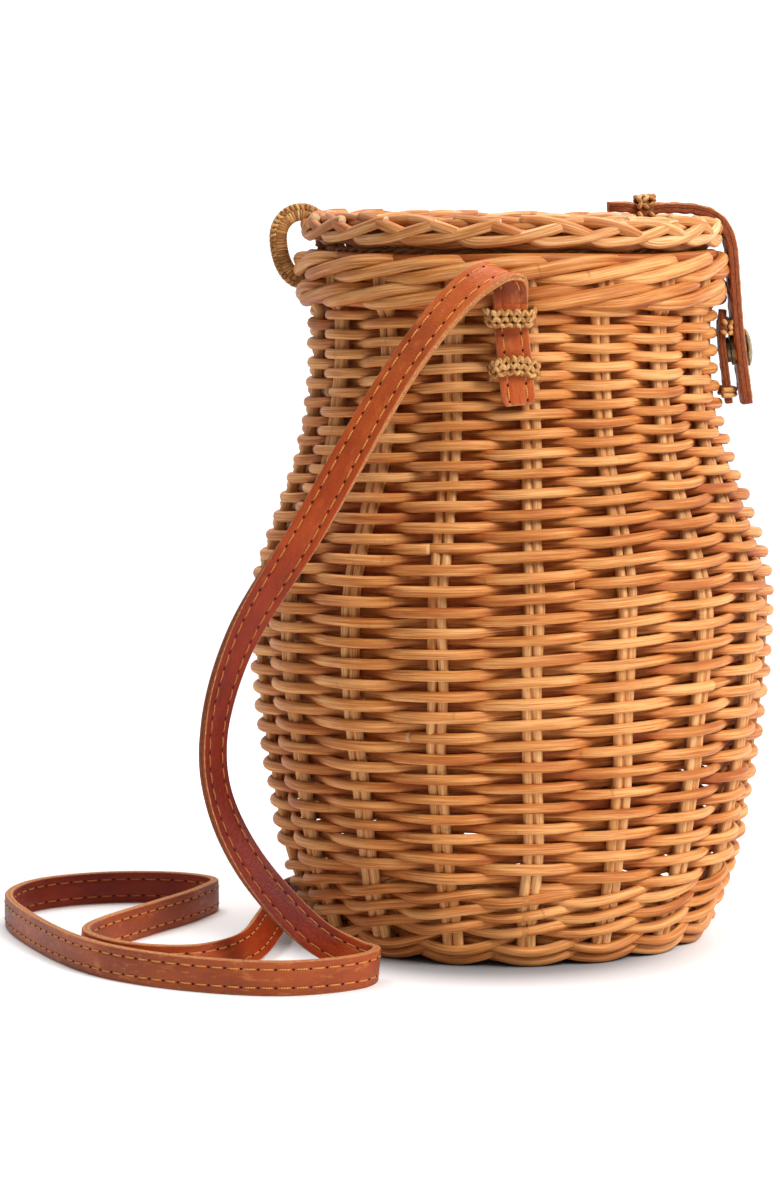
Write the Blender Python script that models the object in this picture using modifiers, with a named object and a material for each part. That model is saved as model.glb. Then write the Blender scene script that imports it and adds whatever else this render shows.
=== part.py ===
"""Wicker bucket bag: a woven rattan basket with a hinged woven lid, a snap closure and a long leather strap.

Frame: +Z up, origin on the basket's axis on the surface it stands on. -X is the lid hinge, +X the closure, and the
shoulder strap is held at -Y and +Y. Lengths are in metres; the tables of points below are in millimetres.
"""

import math

import bmesh
import bpy
from mathutils import Matrix, Vector

MM = 0.001
GAP = 0.0003  # between neighbouring pieces

# Woven wall: outer radius at heights up the basket, and the layers through its thickness.
WALL_PROFILE_MM = [(2, 68.0), (14, 73.6), (28, 78.0), (50, 82.2), (76, 86.0), (106, 88.2), (124, 87.0), (138, 81.8),
                   (152, 76.4), (168, 71.8), (184, 69.2), (200, 68.2), (216, 68.6)]
STAKE_COUNT = 17
FIRST_STAKE_DEG = 3.3 - 90.0  # the stake just right of the front centre
WEAVER = 0.0033
STAKE = 0.0030
STAKE_PAIR_WIDTH = 0.0064
STAKE_INSET = WEAVER + STAKE / 2 + GAP  # from the outer face to the middle of the stakes
WALL_THICKNESS = 2 * STAKE_INSET
WALL_BOTTOM = 0.0098
WALL_TOP = 0.2107
BAND_TOPS = [0.0720, 0.1420, WALL_TOP]
BAND_NAMES = ["side_weave_lower", "side_weave_belly", "side_weave_shoulder"]
BAND_SEAMS_MM = 24  # spacing of the rings of vertices up the wall
WALL_STEPS = 3 * STAKE_COUNT
RING_STEPS = 48
STATION_GAP = 0.001  # least distance between two rings of vertices up the wall
CHANNEL_OVERRUN = 0.002  # how far a cutter reaches past the piece that it cuts
WELD_DISTANCE = 0.000002

# Foot, base and rim.
FOOT_OUTER = 0.0674
FOOT_INNER = 0.0560
FOOT_HEIGHT = WALL_BOTTOM - GAP
BASE_BOTTOM = 0.0040
BASE_TOP = 0.0076
FOOT_CORNER = 0.0024
RIM_WALE_OUTER = 0.0716
RIM_WALE_CORNER = 0.0016
RIM_BORDER_OUTER = 0.0720
RIM_BORDER_CORNER = 0.0026
RIM_INNER = 0.0632
RIM_SPLIT = 0.2190
RIM_TOP = 0.2278

# Lid and its cane hinge ring.
HINGE_X = -0.0690
HINGE_Z = 0.2346
LID_BORDER_RADIUS = 0.0667
LID_BORDER_HALF_WIDTH = 0.0035
LID_BORDER_HALF_HEIGHT = 0.0046
LID_BORDER_SIDES = 10
LID_WEAVE_BOTTOM = 0.2332
LID_WEAVE_TOP = 0.2368
LID_PLUG_OUTER = 0.0616
LID_PLUG_INNER = 0.0584
LID_PLUG_BOTTOM = 0.2240
HINGE_RING_RADIUS = 0.0084
HINGE_RING_LOW_Z = 0.2251  # middle of the ring's lower bend
HINGE_CORE_RADIUS = 0.0011
HINGE_WRAP_INNER = 0.0014
HINGE_WRAP_RADIUS = 0.0022
HINGE_CORE_SPAN_DEG = (0, 345)
HINGE_WRAP_SPAN_DEG = (-15, 210)
HINGE_RING_STEP_DEG = 15
HINGE_NOTCH_HALF_WIDTH = 0.0027
HINGE_NOTCH_CLEARANCE = 0.0005
HINGE_SLOT_OUTER_X = -0.085
HINGE_SLOT_INNER_X = -0.050
HINGE_SLOT_OVERRUN = 0.005
LID_NOTCH_OVERRUN = 0.010

# Closure strap, tab and snap.
CLOSURE_WIDTH = 0.0180
CLOSURE_THICKNESS = 0.0035
CLOSURE_TIP_X = 0.0319
CLOSURE_SEAM_X = 0.0655  # where the strap starts to bend down over the lid's edge
CLOSURE_Z = 0.2416  # middle of the strap on the lid
CLOSURE_MIDDLE_X = 0.0480
FLAP_LEAN = math.radians(7.5)
FLAP_KNEE = (0.0753, 0.2035)
FLAP_END_LENGTH = 0.0267
FLAP_END_SHARES = (0.0, 0.15, 0.55, 1.0)  # of the leaning end's length, where it has a section
FLAP_BEND_RADIUS = 0.0100
FLAP_BEND_X = 0.0743
FLAP_BEND_DEG = (75, 60, 45, 30, 15, 0)
FLAP_HANG_Z = 0.2200
SNAP_DOWN = 0.0080  # from the knee down the leaning part to the snap
SNAP_CAP_RADIUS = 0.00625
SNAP_CAP_RIM = 0.0003
SNAP_DOME_MM = [(0.0, 1.7), (3.0, 1.5), (5.2, 0.9)]  # radius, and height above the strap
SNAP_POST_RADIUS = 0.0015
SNAP_POST_SHORT = 0.0004  # how far the post stops short of the socket's face
SNAP_HOLE_RADIUS = 0.0018
SNAP_STEPS = 24
SNAP_HOLE_SIDES = 16
SNAP_HOLE_REACH = 0.0060
TAB_WIDTH = 0.0120
TAB_THICKNESS = 0.0022
TAB_KNEE_Z = 0.1975
TAB_TOP_Z = 0.2085
TAB_END_Z = 0.1772
SOCKET_RADIUS = 0.0052
SOCKET_THICKNESS = 0.0014
STUD_RADIUS = 0.0042
STUD_THICKNESS = 0.0010
TAB_TO_FLAP = CLOSURE_THICKNESS / 2 + GAP + SOCKET_THICKNESS + GAP + STUD_THICKNESS + GAP + TAB_THICKNESS / 2
TAB_KEEPER_UPPER_Z = 0.2030
TAB_KEEPER_UPPER_HEIGHT = 0.0040
TAB_KEEPER_UPPER_THICKNESS = 0.0008
TAB_KEEPER_UPPER_LIFT = 0.0005
TAB_KEEPER_LOWER_Z = 0.1812
TAB_KEEPER_LOWER_HEIGHT = 0.0024
TAB_KEEPER_LOWER_THICKNESS = 0.0010
TAB_KEEPER_LOWER_LIFT = 0.0012
LID_KEEPER_X = 0.0440
LID_KEEPER_BOTTOM = 0.2376
LID_KEEPER_SIDE_GAP = 0.0011

# Shoulder strap and its cane keepers.
STRAP_WIDTH = 0.0108
STRAP_THICKNESS = 0.0030
STRAP_END_BOTTOM_Z = 0.1810
STRAP_EXIT_Z = 0.2130
STRAP_EXIT_Y = 0.0743
FRONT_END_TOP_X = -0.0025
FRONT_END_LEAN = 0.0028  # how far the front end's tail is to the right of its top
STRAP_END_HEIGHTS = (0.1900, 0.1965, 0.2025)  # of its sections between its tail and the step
STRAP_TO_WALL = 0.0006
STRAP_SECTIONS_PER_SPAN = 2
KEEPER_SHOULDER = 0.0010  # from a cane loop's widest place to where its flat top begins
KEEPER_FOOT_SPREAD = 0.0012
KEEPER_HEIGHT = 0.0062
KEEPER_THICKNESS = 0.0012
KEEPER_HALF_SPAN = 0.0072
KEEPER_HEIGHTS = {"upper": 0.2078, "lower": 0.1937}
STRAP_STEP_Z = (0.2066, 0.2107)  # where the strap's end steps out from the wall over the rim
STRAP_ROUTE_MM = [  # place of the strap's middle, then the direction of its width
    ((-2.5, -74.3, 213.0), (1, 0, 0)),
    ((-2.5, -74.5, 216.0), (1, -0.1, 0)),
    ((-2.8, -76.0, 220.4), (0.95, -0.35, -0.1)),
    ((-6.5, -79.6, 222.9), (0.8, -0.6, -0.35)),
    ((-13.0, -82.4, 220.4), (0.65, -0.6, -0.6)),
    ((-22.0, -84.2, 212.2), (0.58, -0.55, -0.65)),
    ((-37.4, -87.0, 192.0), (0.68, -0.55, -0.45)),
    ((-65.5, -90.5, 144.2), (0.80, -0.10, -0.50)),
    ((-87.4, -91.5, 108.0), (0.72, 0.55, -0.35)),
    ((-95.3, -91.5, 80.0), (0.62, 0.75, -0.1)),
    ((-94.2, -90.5, 60.0), (0.60, 0.75, 0.15)),
    ((-84.4, -89.5, 38.0), (0.60, 0.55, 0.5)),
    ((-64.0, -86.5, 14.6), (0.58, 0.2, 0.75)),
    ((-50.5, -82.5, 6.6), (0.3, 0, 0.95)),
    ((-45.2, -86.0, 5.6), (0.1, 0, 1)),
    ((-49.0, -97.5, 5.5), (0, 0, 1)),
    ((-71.0, -108.8, 5.5), (0, 0, 1)),
    ((-99.0, -103.5, 5.5), (0, 0, 1)),
    ((-131.0, -81.5, 5.5), (0, 0, 1)),
    ((-157.0, -36.0, 5.5), (0, 0, 1)),
    ((-169.5, 8.0, 5.5), (0, 0, 1)),
    ((-161.0, 31.0, 5.5), (0, 0, 1)),
    ((-138.0, 43.5, 5.5), (0, 0, 1)),
    ((-113.0, 42.0, 5.5), (0, 0, 1)),
    ((-101.3, 32.0, 5.5), (0, 0, 1)),
    ((-105.5, 15.0, 5.5), (0, 0, 1)),
    ((-138.5, -50.5, 5.5), (0, 0, 1)),
    ((-135.2, -66.8, 5.5), (0, 0, 1)),
    ((-119.5, -81.8, 5.5), (0, 0, 1)),
    ((-101.0, -83.0, 5.5), (-0.1, 0, 1)),
    ((-87.0, -67.0, 6.0), (-0.5, 0, 0.85)),
    ((-79.5, -33.0, 8.5), (-0.7, 0, 0.7)),
    ((-75.5, 8.0, 9.0), (-0.5, 0, 0.87)),
    ((-62.0, 48.0, 7.5), (-0.2, 0, 1)),
    ((-38.0, 81.5, 17.0), (-0.5, -0.2, 0.85)),
    ((-6.0, 93.5, 112.0), (-1, 0, 0.1)),
    ((0.0, 82.6, 216.5), (-1, 0, 0)),
    ((0.0, 77.4, 221.8), (-1, 0, 0)),
    ((0.0, 74.4, 217.0), (-1, 0, 0)),
    ((0.0, 74.3, 213.0), (-1, 0, 0)),
]

COLOURS = {
    "weave": ((0.60, 0.33, 0.14, 1), 0.55, 0.0),
    "stake": ((0.64, 0.38, 0.18, 1), 0.55, 0.0),
    "border": ((0.62, 0.34, 0.13, 1), 0.5, 0.0),
    "lid": ((0.68, 0.42, 0.20, 1), 0.5, 0.0),
    "cane": ((0.66, 0.42, 0.19, 1), 0.5, 0.0),
    "leather": ((0.38, 0.11, 0.035, 1), 0.5, 0.0),
    "brass": ((0.55, 0.42, 0.22, 1), 0.3, 1.0),
    "steel": ((0.10, 0.10, 0.09, 1), 0.4, 1.0),
}

parts = None
cutters = None


# ---------------------------------------------------------------- scene and materials


def clear_scene():
    for obj in list(bpy.data.objects):
        bpy.data.objects.remove(obj, do_unlink=True)


def new_collection(name):
    collection = bpy.data.collections.new(name)
    bpy.context.scene.collection.children.link(collection)
    return collection


def material(name, kind):
    colour, roughness, metallic = COLOURS[kind]
    mat = bpy.data.materials.new(name + "_material")
    mat.use_nodes = True
    shader = mat.node_tree.nodes["Principled BSDF"]
    shader.inputs["Base Color"].default_value = colour
    shader.inputs["Roughness"].default_value = roughness
    shader.inputs["Metallic"].default_value = metallic
    return mat


def add_part(name, mesh, kind, smooth_deg=40):
    mesh.name = name
    obj = bpy.data.objects.new(name, mesh)
    mesh.materials.clear()
    mesh.materials.append(material(name, kind))
    mesh.shade_smooth()
    mesh.set_sharp_from_angle(angle=math.radians(smooth_deg))
    parts.objects.link(obj)
    return obj


def cutter(name, mesh):
    obj = bpy.data.objects.new(name, mesh)
    obj.hide_render = True
    obj.display_type = "WIRE"
    cutters.objects.link(obj)
    return obj


def cut(obj, tool):
    boolean = obj.modifiers.new("cut_" + tool.name, "BOOLEAN")
    boolean.operation = "DIFFERENCE"
    boolean.object = tool


# ---------------------------------------------------------------- shapes


def monotone_slopes(knots):
    """Slopes at the knots of a curve that keeps the shape of its points, as Fritsch and Butland give them."""
    spans = [(b[0] - a[0], (b[1] - a[1]) / (b[0] - a[0])) for a, b in zip(knots, knots[1:])]
    slopes = [spans[0][1]]
    for (h0, d0), (h1, d1) in zip(spans, spans[1:]):
        if d0 * d1 <= 0:
            slopes.append(0.0)
        else:
            w0, w1 = 2 * h1 + h0, h1 + 2 * h0
            slopes.append((w0 + w1) / (w0 / d0 + w1 / d1))
    slopes.append(spans[-1][1])
    return slopes


WALL_SLOPES = monotone_slopes(WALL_PROFILE_MM)


def wall_radius(z):
    """Outer radius of the woven wall at height z."""
    knots = WALL_PROFILE_MM
    z_mm = min(max(z / MM, knots[0][0]), knots[-1][0])
    i = max(k for k in range(len(knots) - 1) if knots[k][0] <= z_mm)
    (z0, r0), (z1, r1) = knots[i], knots[i + 1]
    h = z1 - z0
    t = (z_mm - z0) / h
    m0, m1 = WALL_SLOPES[i] * h, WALL_SLOPES[i + 1] * h
    r = (2 * t**3 - 3 * t**2 + 1) * r0 + (t**3 - 2 * t**2 + t) * m0 + (3 * t**2 - 2 * t**3) * r1 + (t**3 - t**2) * m1
    return r * MM


def heights(low, high):
    count = max(2, math.ceil((high - low) / (BAND_SEAMS_MM * MM)))
    return [low + (high - low) * i / count for i in range(count + 1)]


def turned(name, profile, steps=RING_STEPS, axis_closed=False):
    """Mesh of a profile turned round Z with a Screw modifier. A ring's profile is a closed loop of (radius, z)."""
    mesh = bpy.data.meshes.new(name)
    count = len(profile)
    edges = [(i, i + 1) for i in range(count - 1)]
    if not axis_closed:
        edges.append((count - 1, 0))
    mesh.from_pydata([(r, 0.0, z) for r, z in profile], edges, [])
    obj = bpy.data.objects.new(name, mesh)
    bpy.context.scene.collection.objects.link(obj)
    screw = obj.modifiers.new("turn", "SCREW")
    screw.steps = steps
    screw.render_steps = steps
    screw.use_merge_vertices = True
    screw.merge_threshold = 5 * WELD_DISTANCE
    return baked(obj)


def baked(obj):
    """The evaluated mesh of a helper object, which is then removed."""
    graph = bpy.context.evaluated_depsgraph_get()
    mesh = bpy.data.meshes.new_from_object(obj.evaluated_get(graph), depsgraph=graph)
    mesh.transform(obj.matrix_world)
    bpy.data.objects.remove(obj, do_unlink=True)
    bm = bmesh.new()
    bm.from_mesh(mesh)
    bmesh.ops.remove_doubles(bm, verts=bm.verts, dist=WELD_DISTANCE)
    bmesh.ops.recalc_face_normals(bm, faces=bm.faces)
    bm.to_mesh(mesh)
    bm.free()
    return mesh


def loft(name, sections, closed=False):
    """Closed mesh through sections, which all have the same number of points. Ends are filled unless closed."""
    bm = bmesh.new()
    rings = [[bm.verts.new(p) for p in section] for section in sections]
    count = len(rings[0])
    pairs = list(zip(rings, rings[1:])) + ([(rings[-1], rings[0])] if closed else [])
    for a, b in pairs:
        for i in range(count):
            j = (i + 1) % count
            bm.faces.new((a[i], a[j], b[j], b[i]))
    if not closed:
        bm.faces.new(rings[0])
        bm.faces.new(rings[-1])
    bmesh.ops.recalc_face_normals(bm, faces=bm.faces)
    mesh = bpy.data.meshes.new(name)
    bm.to_mesh(mesh)
    bm.free()
    return mesh


def tangents(points, closed=False):
    n = len(points)
    result = []
    for i in range(n):
        before = points[(i - 1) % n] if closed or i > 0 else points[i]
        after = points[(i + 1) % n] if closed or i < n - 1 else points[i]
        result.append((after - before).normalized())
    return result


def ribbon(name, points, widths, width, thickness):
    """A flat strap along points. widths holds the direction of its width at each point."""
    sections = []
    for p, t, w in zip(points, tangents(points), widths):
        side = (w - t * w.dot(t)).normalized()
        face = t.cross(side).normalized()
        half_side = side * width / 2
        half_face = face * thickness / 2
        sections.append([p + half_side + half_face, p - half_side + half_face, p - half_side - half_face,
                         p + half_side - half_face])
    return loft(name, sections)


def straight_ribbon(name, points, width_direction, width, thickness):
    points = [Vector(p) for p in points]
    return ribbon(name, points, [Vector(width_direction)] * len(points), width, thickness)


def smooth_route(route, per_span):
    """Points, with their width directions, on a centripetal Catmull-Rom curve, per_span for each of its spans."""
    places = [Vector(p) * MM for p, _ in route]
    sides = [Vector(w).normalized() for _, w in route]
    places = [places[0] * 2 - places[1]] + places + [places[-1] * 2 - places[-2]]
    points, widths = [], []
    for i in range(1, len(places) - 2):
        p0, p1, p2, p3 = places[i - 1: i + 3]
        t1 = math.sqrt((p1 - p0).length)
        t2 = t1 + math.sqrt((p2 - p1).length)
        t3 = t2 + math.sqrt((p3 - p2).length)
        for k in range(per_span):
            u = k / per_span
            t = t1 + (t2 - t1) * u
            a1 = p0.lerp(p1, t / t1)
            a2 = p1.lerp(p2, u)
            a3 = p2.lerp(p3, (t - t2) / (t3 - t2))
            b1 = a1.lerp(a2, t / t2)
            b2 = a2.lerp(a3, (t - t1) / (t3 - t1))
            points.append(b1.lerp(b2, u))
            widths.append(sides[i - 1].lerp(sides[i], u).normalized())
    return points + [places[-2]], widths + [sides[-1]]


def box_mesh(name, low, high):
    bm = bmesh.new()
    centre = [(a + b) / 2 for a, b in zip(low, high)]
    size = [b - a for a, b in zip(low, high)]
    bmesh.ops.create_cube(bm, size=1.0, matrix=Matrix.Translation(centre) @ Matrix.Diagonal((*size, 1.0)))
    mesh = bpy.data.meshes.new(name)
    bm.to_mesh(mesh)
    bm.free()
    return mesh


def ellipse(centre_r, centre_z, half_width, half_height):
    """A closed loop of (radius, z) for a border's section."""
    turns = [math.pi / 2 - 2 * math.pi * i / LID_BORDER_SIDES for i in range(LID_BORDER_SIDES)]
    return [(centre_r + half_width * math.cos(a), centre_z + half_height * math.sin(a)) for a in turns]


def rounded_box(inner, outer, low, high, corner):
    """A closed loop of (radius, z) with its corners cut, running down the outer side."""
    return [(inner + corner, high), (outer - corner, high), (outer, high - corner), (outer, low + corner),
            (outer - corner, low), (inner + corner, low), (inner, low + corner), (inner, high - corner)]


# ---------------------------------------------------------------- basket


def pair_section(centre, across, outward, grow=0.0):
    """Outline round two rods side by side, eight points."""
    rod = STAKE / 2 + grow
    offset = STAKE_PAIR_WIDTH / 2 - STAKE / 2
    loop = []
    for side in (1, -1):
        for k in range(4):
            a = math.radians(-90 + 60 * k)
            loop.append(centre + across * side * (offset + rod * math.cos(a)) + outward * side * rod * math.sin(a))
    return loop


def stake_sections(angle, low, high, grow=0.0):
    outward = Vector((math.cos(angle), math.sin(angle), 0))
    across = Vector((-math.sin(angle), math.cos(angle), 0))
    sections = []
    for z in wall_stations(low, high):
        centre = outward * (wall_radius(z) - STAKE_INSET) + Vector((0, 0, z))
        sections.append(pair_section(centre, across, outward, grow))
    return sections


def wall_stations(low, high):
    """The shared heights of the wall's vertices between low and high, with the two ends."""
    shared = sorted({round(z, 6) for a, b in zip([WALL_BOTTOM] + BAND_TOPS, BAND_TOPS) for z in heights(a, b)})
    return [low] + [z for z in shared if low + STATION_GAP < z < high - STATION_GAP] + [high]


def stake_angles():
    return [math.radians(FIRST_STAKE_DEG) + 2 * math.pi * i / STAKE_COUNT for i in range(STAKE_COUNT)]


def make_wall():
    """Three bands of weave, each a shell that the stake pairs run through in channels."""
    bottoms = [WALL_BOTTOM] + [z + GAP for z in BAND_TOPS[:-1]]
    for name, low, high in zip(BAND_NAMES, bottoms, BAND_TOPS):
        stations = wall_stations(low, high)
        outer = [(wall_radius(z), z) for z in reversed(stations)]
        inner = [(wall_radius(z) - WALL_THICKNESS, z) for z in stations]
        band = add_part(name, turned(name, outer + inner, WALL_STEPS), "weave")
        for i, angle in enumerate(stake_angles()):
            sections = stake_sections(angle, low - CHANNEL_OVERRUN, high + CHANNEL_OVERRUN, GAP)
            cut(band, cutter(f"{name}_channel_{i + 1:02d}", loft("channel", sections)))
    for i, angle in enumerate(stake_angles()):
        name = f"stake_pair_{i + 1:02d}"
        add_part(name, loft(name, stake_sections(angle, WALL_BOTTOM, WALL_TOP - GAP)), "stake")


def make_foot_and_base():
    foot = rounded_box(FOOT_INNER, FOOT_OUTER, 0.0, FOOT_HEIGHT, FOOT_CORNER)
    add_part("foot_border", turned("foot_border", foot, WALL_STEPS), "border")
    base = [(0.0, BASE_TOP), (FOOT_INNER - GAP, BASE_TOP), (FOOT_INNER - GAP, BASE_BOTTOM), (0.0, BASE_BOTTOM)]
    add_part("base_weave", turned("base_weave", base, axis_closed=True), "weave")


def make_rim():
    profile = rounded_box(RIM_INNER, RIM_WALE_OUTER, WALL_TOP + GAP, RIM_SPLIT, RIM_WALE_CORNER)
    wale = add_part("rim_wale", turned("rim_wale", profile), "border")
    ring_bottom = HINGE_RING_LOW_Z - HINGE_RING_RADIUS - HINGE_WRAP_RADIUS
    low = (HINGE_SLOT_OUTER_X, -HINGE_NOTCH_HALF_WIDTH, ring_bottom - GAP)
    high = (HINGE_SLOT_INNER_X, HINGE_NOTCH_HALF_WIDTH, RIM_SPLIT + HINGE_SLOT_OVERRUN)
    cut(wale, cutter("hinge_ring_slot", box_mesh("slot", low, high)))
    border = rounded_box(RIM_INNER, RIM_BORDER_OUTER, RIM_SPLIT + GAP, RIM_TOP, RIM_BORDER_CORNER)
    add_part("rim_border", turned("rim_border", border), "border")


# ---------------------------------------------------------------- lid and hinge ring


def ring_path(start_deg, end_deg):
    """Points of the oval hinge ring in the plane y = 0. 0 degrees is its inner leg, 90 its top."""
    points = []
    count = round((end_deg - start_deg) / HINGE_RING_STEP_DEG)
    for i in range(count + 1):
        degrees = start_deg + (end_deg - start_deg) * i / count
        a = math.radians(degrees)
        middle = HINGE_Z if 0 <= degrees <= 180 else HINGE_RING_LOW_Z
        points.append(Vector((HINGE_X + HINGE_RING_RADIUS * math.cos(a), 0, middle + HINGE_RING_RADIUS * math.sin(a))))
    return points


def rod(name, points, radius, closed=False, sides=10):
    """A round rod along points in the plane y = 0."""
    sections = []
    for p, t in zip(points, tangents(points, closed)):
        across = Vector((0, 1, 0))
        outward = t.cross(across)
        ring = []
        for k in range(sides):
            a = 2 * math.pi * k / sides
            ring.append(p + across * radius * math.cos(a) + outward * radius * math.sin(a))
        sections.append(ring)
    return loft(name, sections, closed)


def make_hinge_ring():
    loop = ring_path(*HINGE_CORE_SPAN_DEG)
    add_part("hinge_ring_core", rod("hinge_ring_core", loop, HINGE_CORE_RADIUS, closed=True, sides=8), "cane")
    start, end = HINGE_WRAP_SPAN_DEG
    wrap = add_part("hinge_ring_wrap", rod("hinge_ring_wrap", ring_path(start, end), HINGE_WRAP_RADIUS), "cane")
    bore_path = ring_path(start - HINGE_RING_STEP_DEG, end + HINGE_RING_STEP_DEG)
    bore = rod("bore", bore_path, HINGE_WRAP_INNER, sides=8)
    cut(wrap, cutter("hinge_ring_bore", bore))


def make_lid():
    border = ellipse(LID_BORDER_RADIUS, HINGE_Z, LID_BORDER_HALF_WIDTH, LID_BORDER_HALF_HEIGHT)
    add_part("lid_border", turned("lid_border", border), "lid")
    edge = LID_BORDER_RADIUS - LID_BORDER_HALF_WIDTH - GAP
    disc = [(0.0, LID_WEAVE_TOP), (edge, LID_WEAVE_TOP), (edge, LID_WEAVE_BOTTOM), (0.0, LID_WEAVE_BOTTOM)]
    weave = add_part("lid_weave", turned("lid_weave", disc, axis_closed=True), "lid")
    plug_top = LID_WEAVE_BOTTOM - GAP
    plug_profile = [(LID_PLUG_OUTER, plug_top), (LID_PLUG_OUTER, LID_PLUG_BOTTOM), (LID_PLUG_INNER, LID_PLUG_BOTTOM),
                    (LID_PLUG_INNER, plug_top)]
    plug = add_part("lid_plug_ring", turned("lid_plug_ring", plug_profile), "lid")
    reach = HINGE_X + HINGE_RING_RADIUS + HINGE_WRAP_RADIUS + HINGE_NOTCH_CLEARANCE
    low = (HINGE_SLOT_OUTER_X, -HINGE_NOTCH_HALF_WIDTH, LID_PLUG_BOTTOM - LID_NOTCH_OVERRUN)
    high = (reach, HINGE_NOTCH_HALF_WIDTH, LID_WEAVE_TOP + LID_NOTCH_OVERRUN)
    notch = cutter("hinge_ring_notch", box_mesh("notch", low, high))
    cut(weave, notch)
    cut(plug, notch)


# ---------------------------------------------------------------- closure


def leaning(start, lean, distance, outward=0.0):
    """A point distance down a leaning line in the plane y = 0, and outward from it."""
    x = start[0] + math.sin(lean) * distance + math.cos(lean) * outward
    z = start[1] - math.cos(lean) * distance + math.sin(lean) * outward
    return Vector((x, 0, z))


def flap_path():
    points = [Vector((CLOSURE_SEAM_X + GAP, 0, CLOSURE_Z))]
    centre = Vector((FLAP_BEND_X - FLAP_BEND_RADIUS, 0, CLOSURE_Z - FLAP_BEND_RADIUS))
    for degrees in FLAP_BEND_DEG:
        a = math.radians(degrees)
        points.append(centre + Vector((math.cos(a), 0, math.sin(a))) * FLAP_BEND_RADIUS)
    points.append(Vector((FLAP_BEND_X, 0, FLAP_HANG_Z)))
    for share in FLAP_END_SHARES:
        points.append(leaning(FLAP_KNEE, FLAP_LEAN, FLAP_END_LENGTH * share))
    return points


def place_on_lean(mesh, origin, lean):
    """Turns a piece made on +Z so that its +Z points outward from the leaning strap at origin."""
    mesh.transform(Matrix.Translation(origin) @ Matrix.Rotation(math.pi / 2 - lean, 4, "Y"))
    return mesh


def disc_cutter(name, radius, half_length, origin, lean):
    bm = bmesh.new()
    bmesh.ops.create_cone(bm, cap_ends=True, segments=SNAP_HOLE_SIDES, radius1=radius, radius2=radius,
                          depth=2 * half_length)
    mesh = bpy.data.meshes.new(name)
    bm.to_mesh(mesh)
    bm.free()
    return cutter(name, place_on_lean(mesh, origin, lean))


def tab_path():
    snap_line = leaning(FLAP_KNEE, FLAP_LEAN, SNAP_DOWN, -TAB_TO_FLAP)
    slope = math.tan(FLAP_LEAN)
    knee_x = snap_line.x - (TAB_KNEE_Z - snap_line.z) * slope
    end_x = snap_line.x - (TAB_END_Z - snap_line.z) * slope
    return [(knee_x + GAP, 0, TAB_TOP_Z), (knee_x, 0, TAB_KNEE_Z), (snap_line.x, 0, snap_line.z),
            (end_x, 0, TAB_END_Z)]


def make_closure():
    y_dir = (0, 1, 0)
    on_lid = [(CLOSURE_TIP_X, 0, CLOSURE_Z), (CLOSURE_MIDDLE_X, 0, CLOSURE_Z), (CLOSURE_SEAM_X - GAP, 0, CLOSURE_Z)]
    add_part("closure_strap", straight_ribbon("closure_strap", on_lid, y_dir, CLOSURE_WIDTH, CLOSURE_THICKNESS),
             "leather")
    flap = add_part("closure_flap", straight_ribbon("closure_flap", flap_path(), y_dir, CLOSURE_WIDTH,
                                                    CLOSURE_THICKNESS), "leather")
    snap = leaning(FLAP_KNEE, FLAP_LEAN, SNAP_DOWN)
    cut(flap, disc_cutter("flap_hole", SNAP_HOLE_RADIUS, SNAP_HOLE_REACH, snap, FLAP_LEAN))

    face = CLOSURE_THICKNESS / 2 + GAP
    post_end = SNAP_POST_SHORT - face - SOCKET_THICKNESS
    dome = [(r * MM, face + rise * MM) for r, rise in SNAP_DOME_MM]
    dome += [(SNAP_CAP_RADIUS, face + SNAP_CAP_RIM), (SNAP_CAP_RADIUS, face), (SNAP_POST_RADIUS, face),
             (SNAP_POST_RADIUS, post_end), (0.0, post_end)]
    cap = turned("snap_cap", dome, SNAP_STEPS, axis_closed=True)
    add_part("snap_cap", place_on_lean(cap, snap, FLAP_LEAN), "brass")
    ring = [(SNAP_HOLE_RADIUS, -face), (SOCKET_RADIUS, -face), (SOCKET_RADIUS, -face - SOCKET_THICKNESS),
            (SNAP_HOLE_RADIUS, -face - SOCKET_THICKNESS)]
    add_part("snap_socket", place_on_lean(turned("snap_socket", ring, SNAP_STEPS), snap, FLAP_LEAN), "steel")

    tab = add_part("closure_tab", straight_ribbon("closure_tab", tab_path(), y_dir, TAB_WIDTH, TAB_THICKNESS),
                   "leather")
    tab_snap = leaning(FLAP_KNEE, FLAP_LEAN, SNAP_DOWN, -TAB_TO_FLAP)
    cut(tab, disc_cutter("tab_hole", SNAP_HOLE_RADIUS, SNAP_HOLE_REACH, tab_snap, FLAP_LEAN))
    low = TAB_THICKNESS / 2 + GAP
    profile = [(0.0, low + STUD_THICKNESS), (STUD_RADIUS, low + STUD_THICKNESS), (STUD_RADIUS, low),
               (SNAP_POST_RADIUS, low), (SNAP_POST_RADIUS, -TAB_THICKNESS / 2), (0.0, -TAB_THICKNESS / 2)]
    stud = turned("snap_stud", profile, SNAP_STEPS, axis_closed=True)
    add_part("snap_stud", place_on_lean(stud, tab_snap, FLAP_LEAN), "steel")


def loop_shape(half_span, foot, top):
    """A cane loop's places: across the strap, and out from what the strap lies on."""
    half = [(half_span + KEEPER_FOOT_SPREAD, foot), (half_span, (foot + top) / 2), (half_span - KEEPER_SHOULDER, top)]
    return [(-across, out) for across, out in half] + half[::-1]


def bridge(name, half_span, top, height_z, facing, width, thickness, middle=0.0):
    """A cane loop over a strap: a flat band that leaves the wall, rises to top from the axis and comes back."""
    foot = wall_clearance(height_z)
    shape = loop_shape(half_span, foot, top)
    outward = Vector((math.cos(facing), math.sin(facing), 0))
    across = Vector((-math.sin(facing), math.cos(facing), 0))
    points = [outward * out + across * (side + middle) + Vector((0, 0, height_z)) for side, out in shape]
    return add_part(name, straight_ribbon(name, points, (0, 0, 1), width, thickness), "cane")


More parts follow.
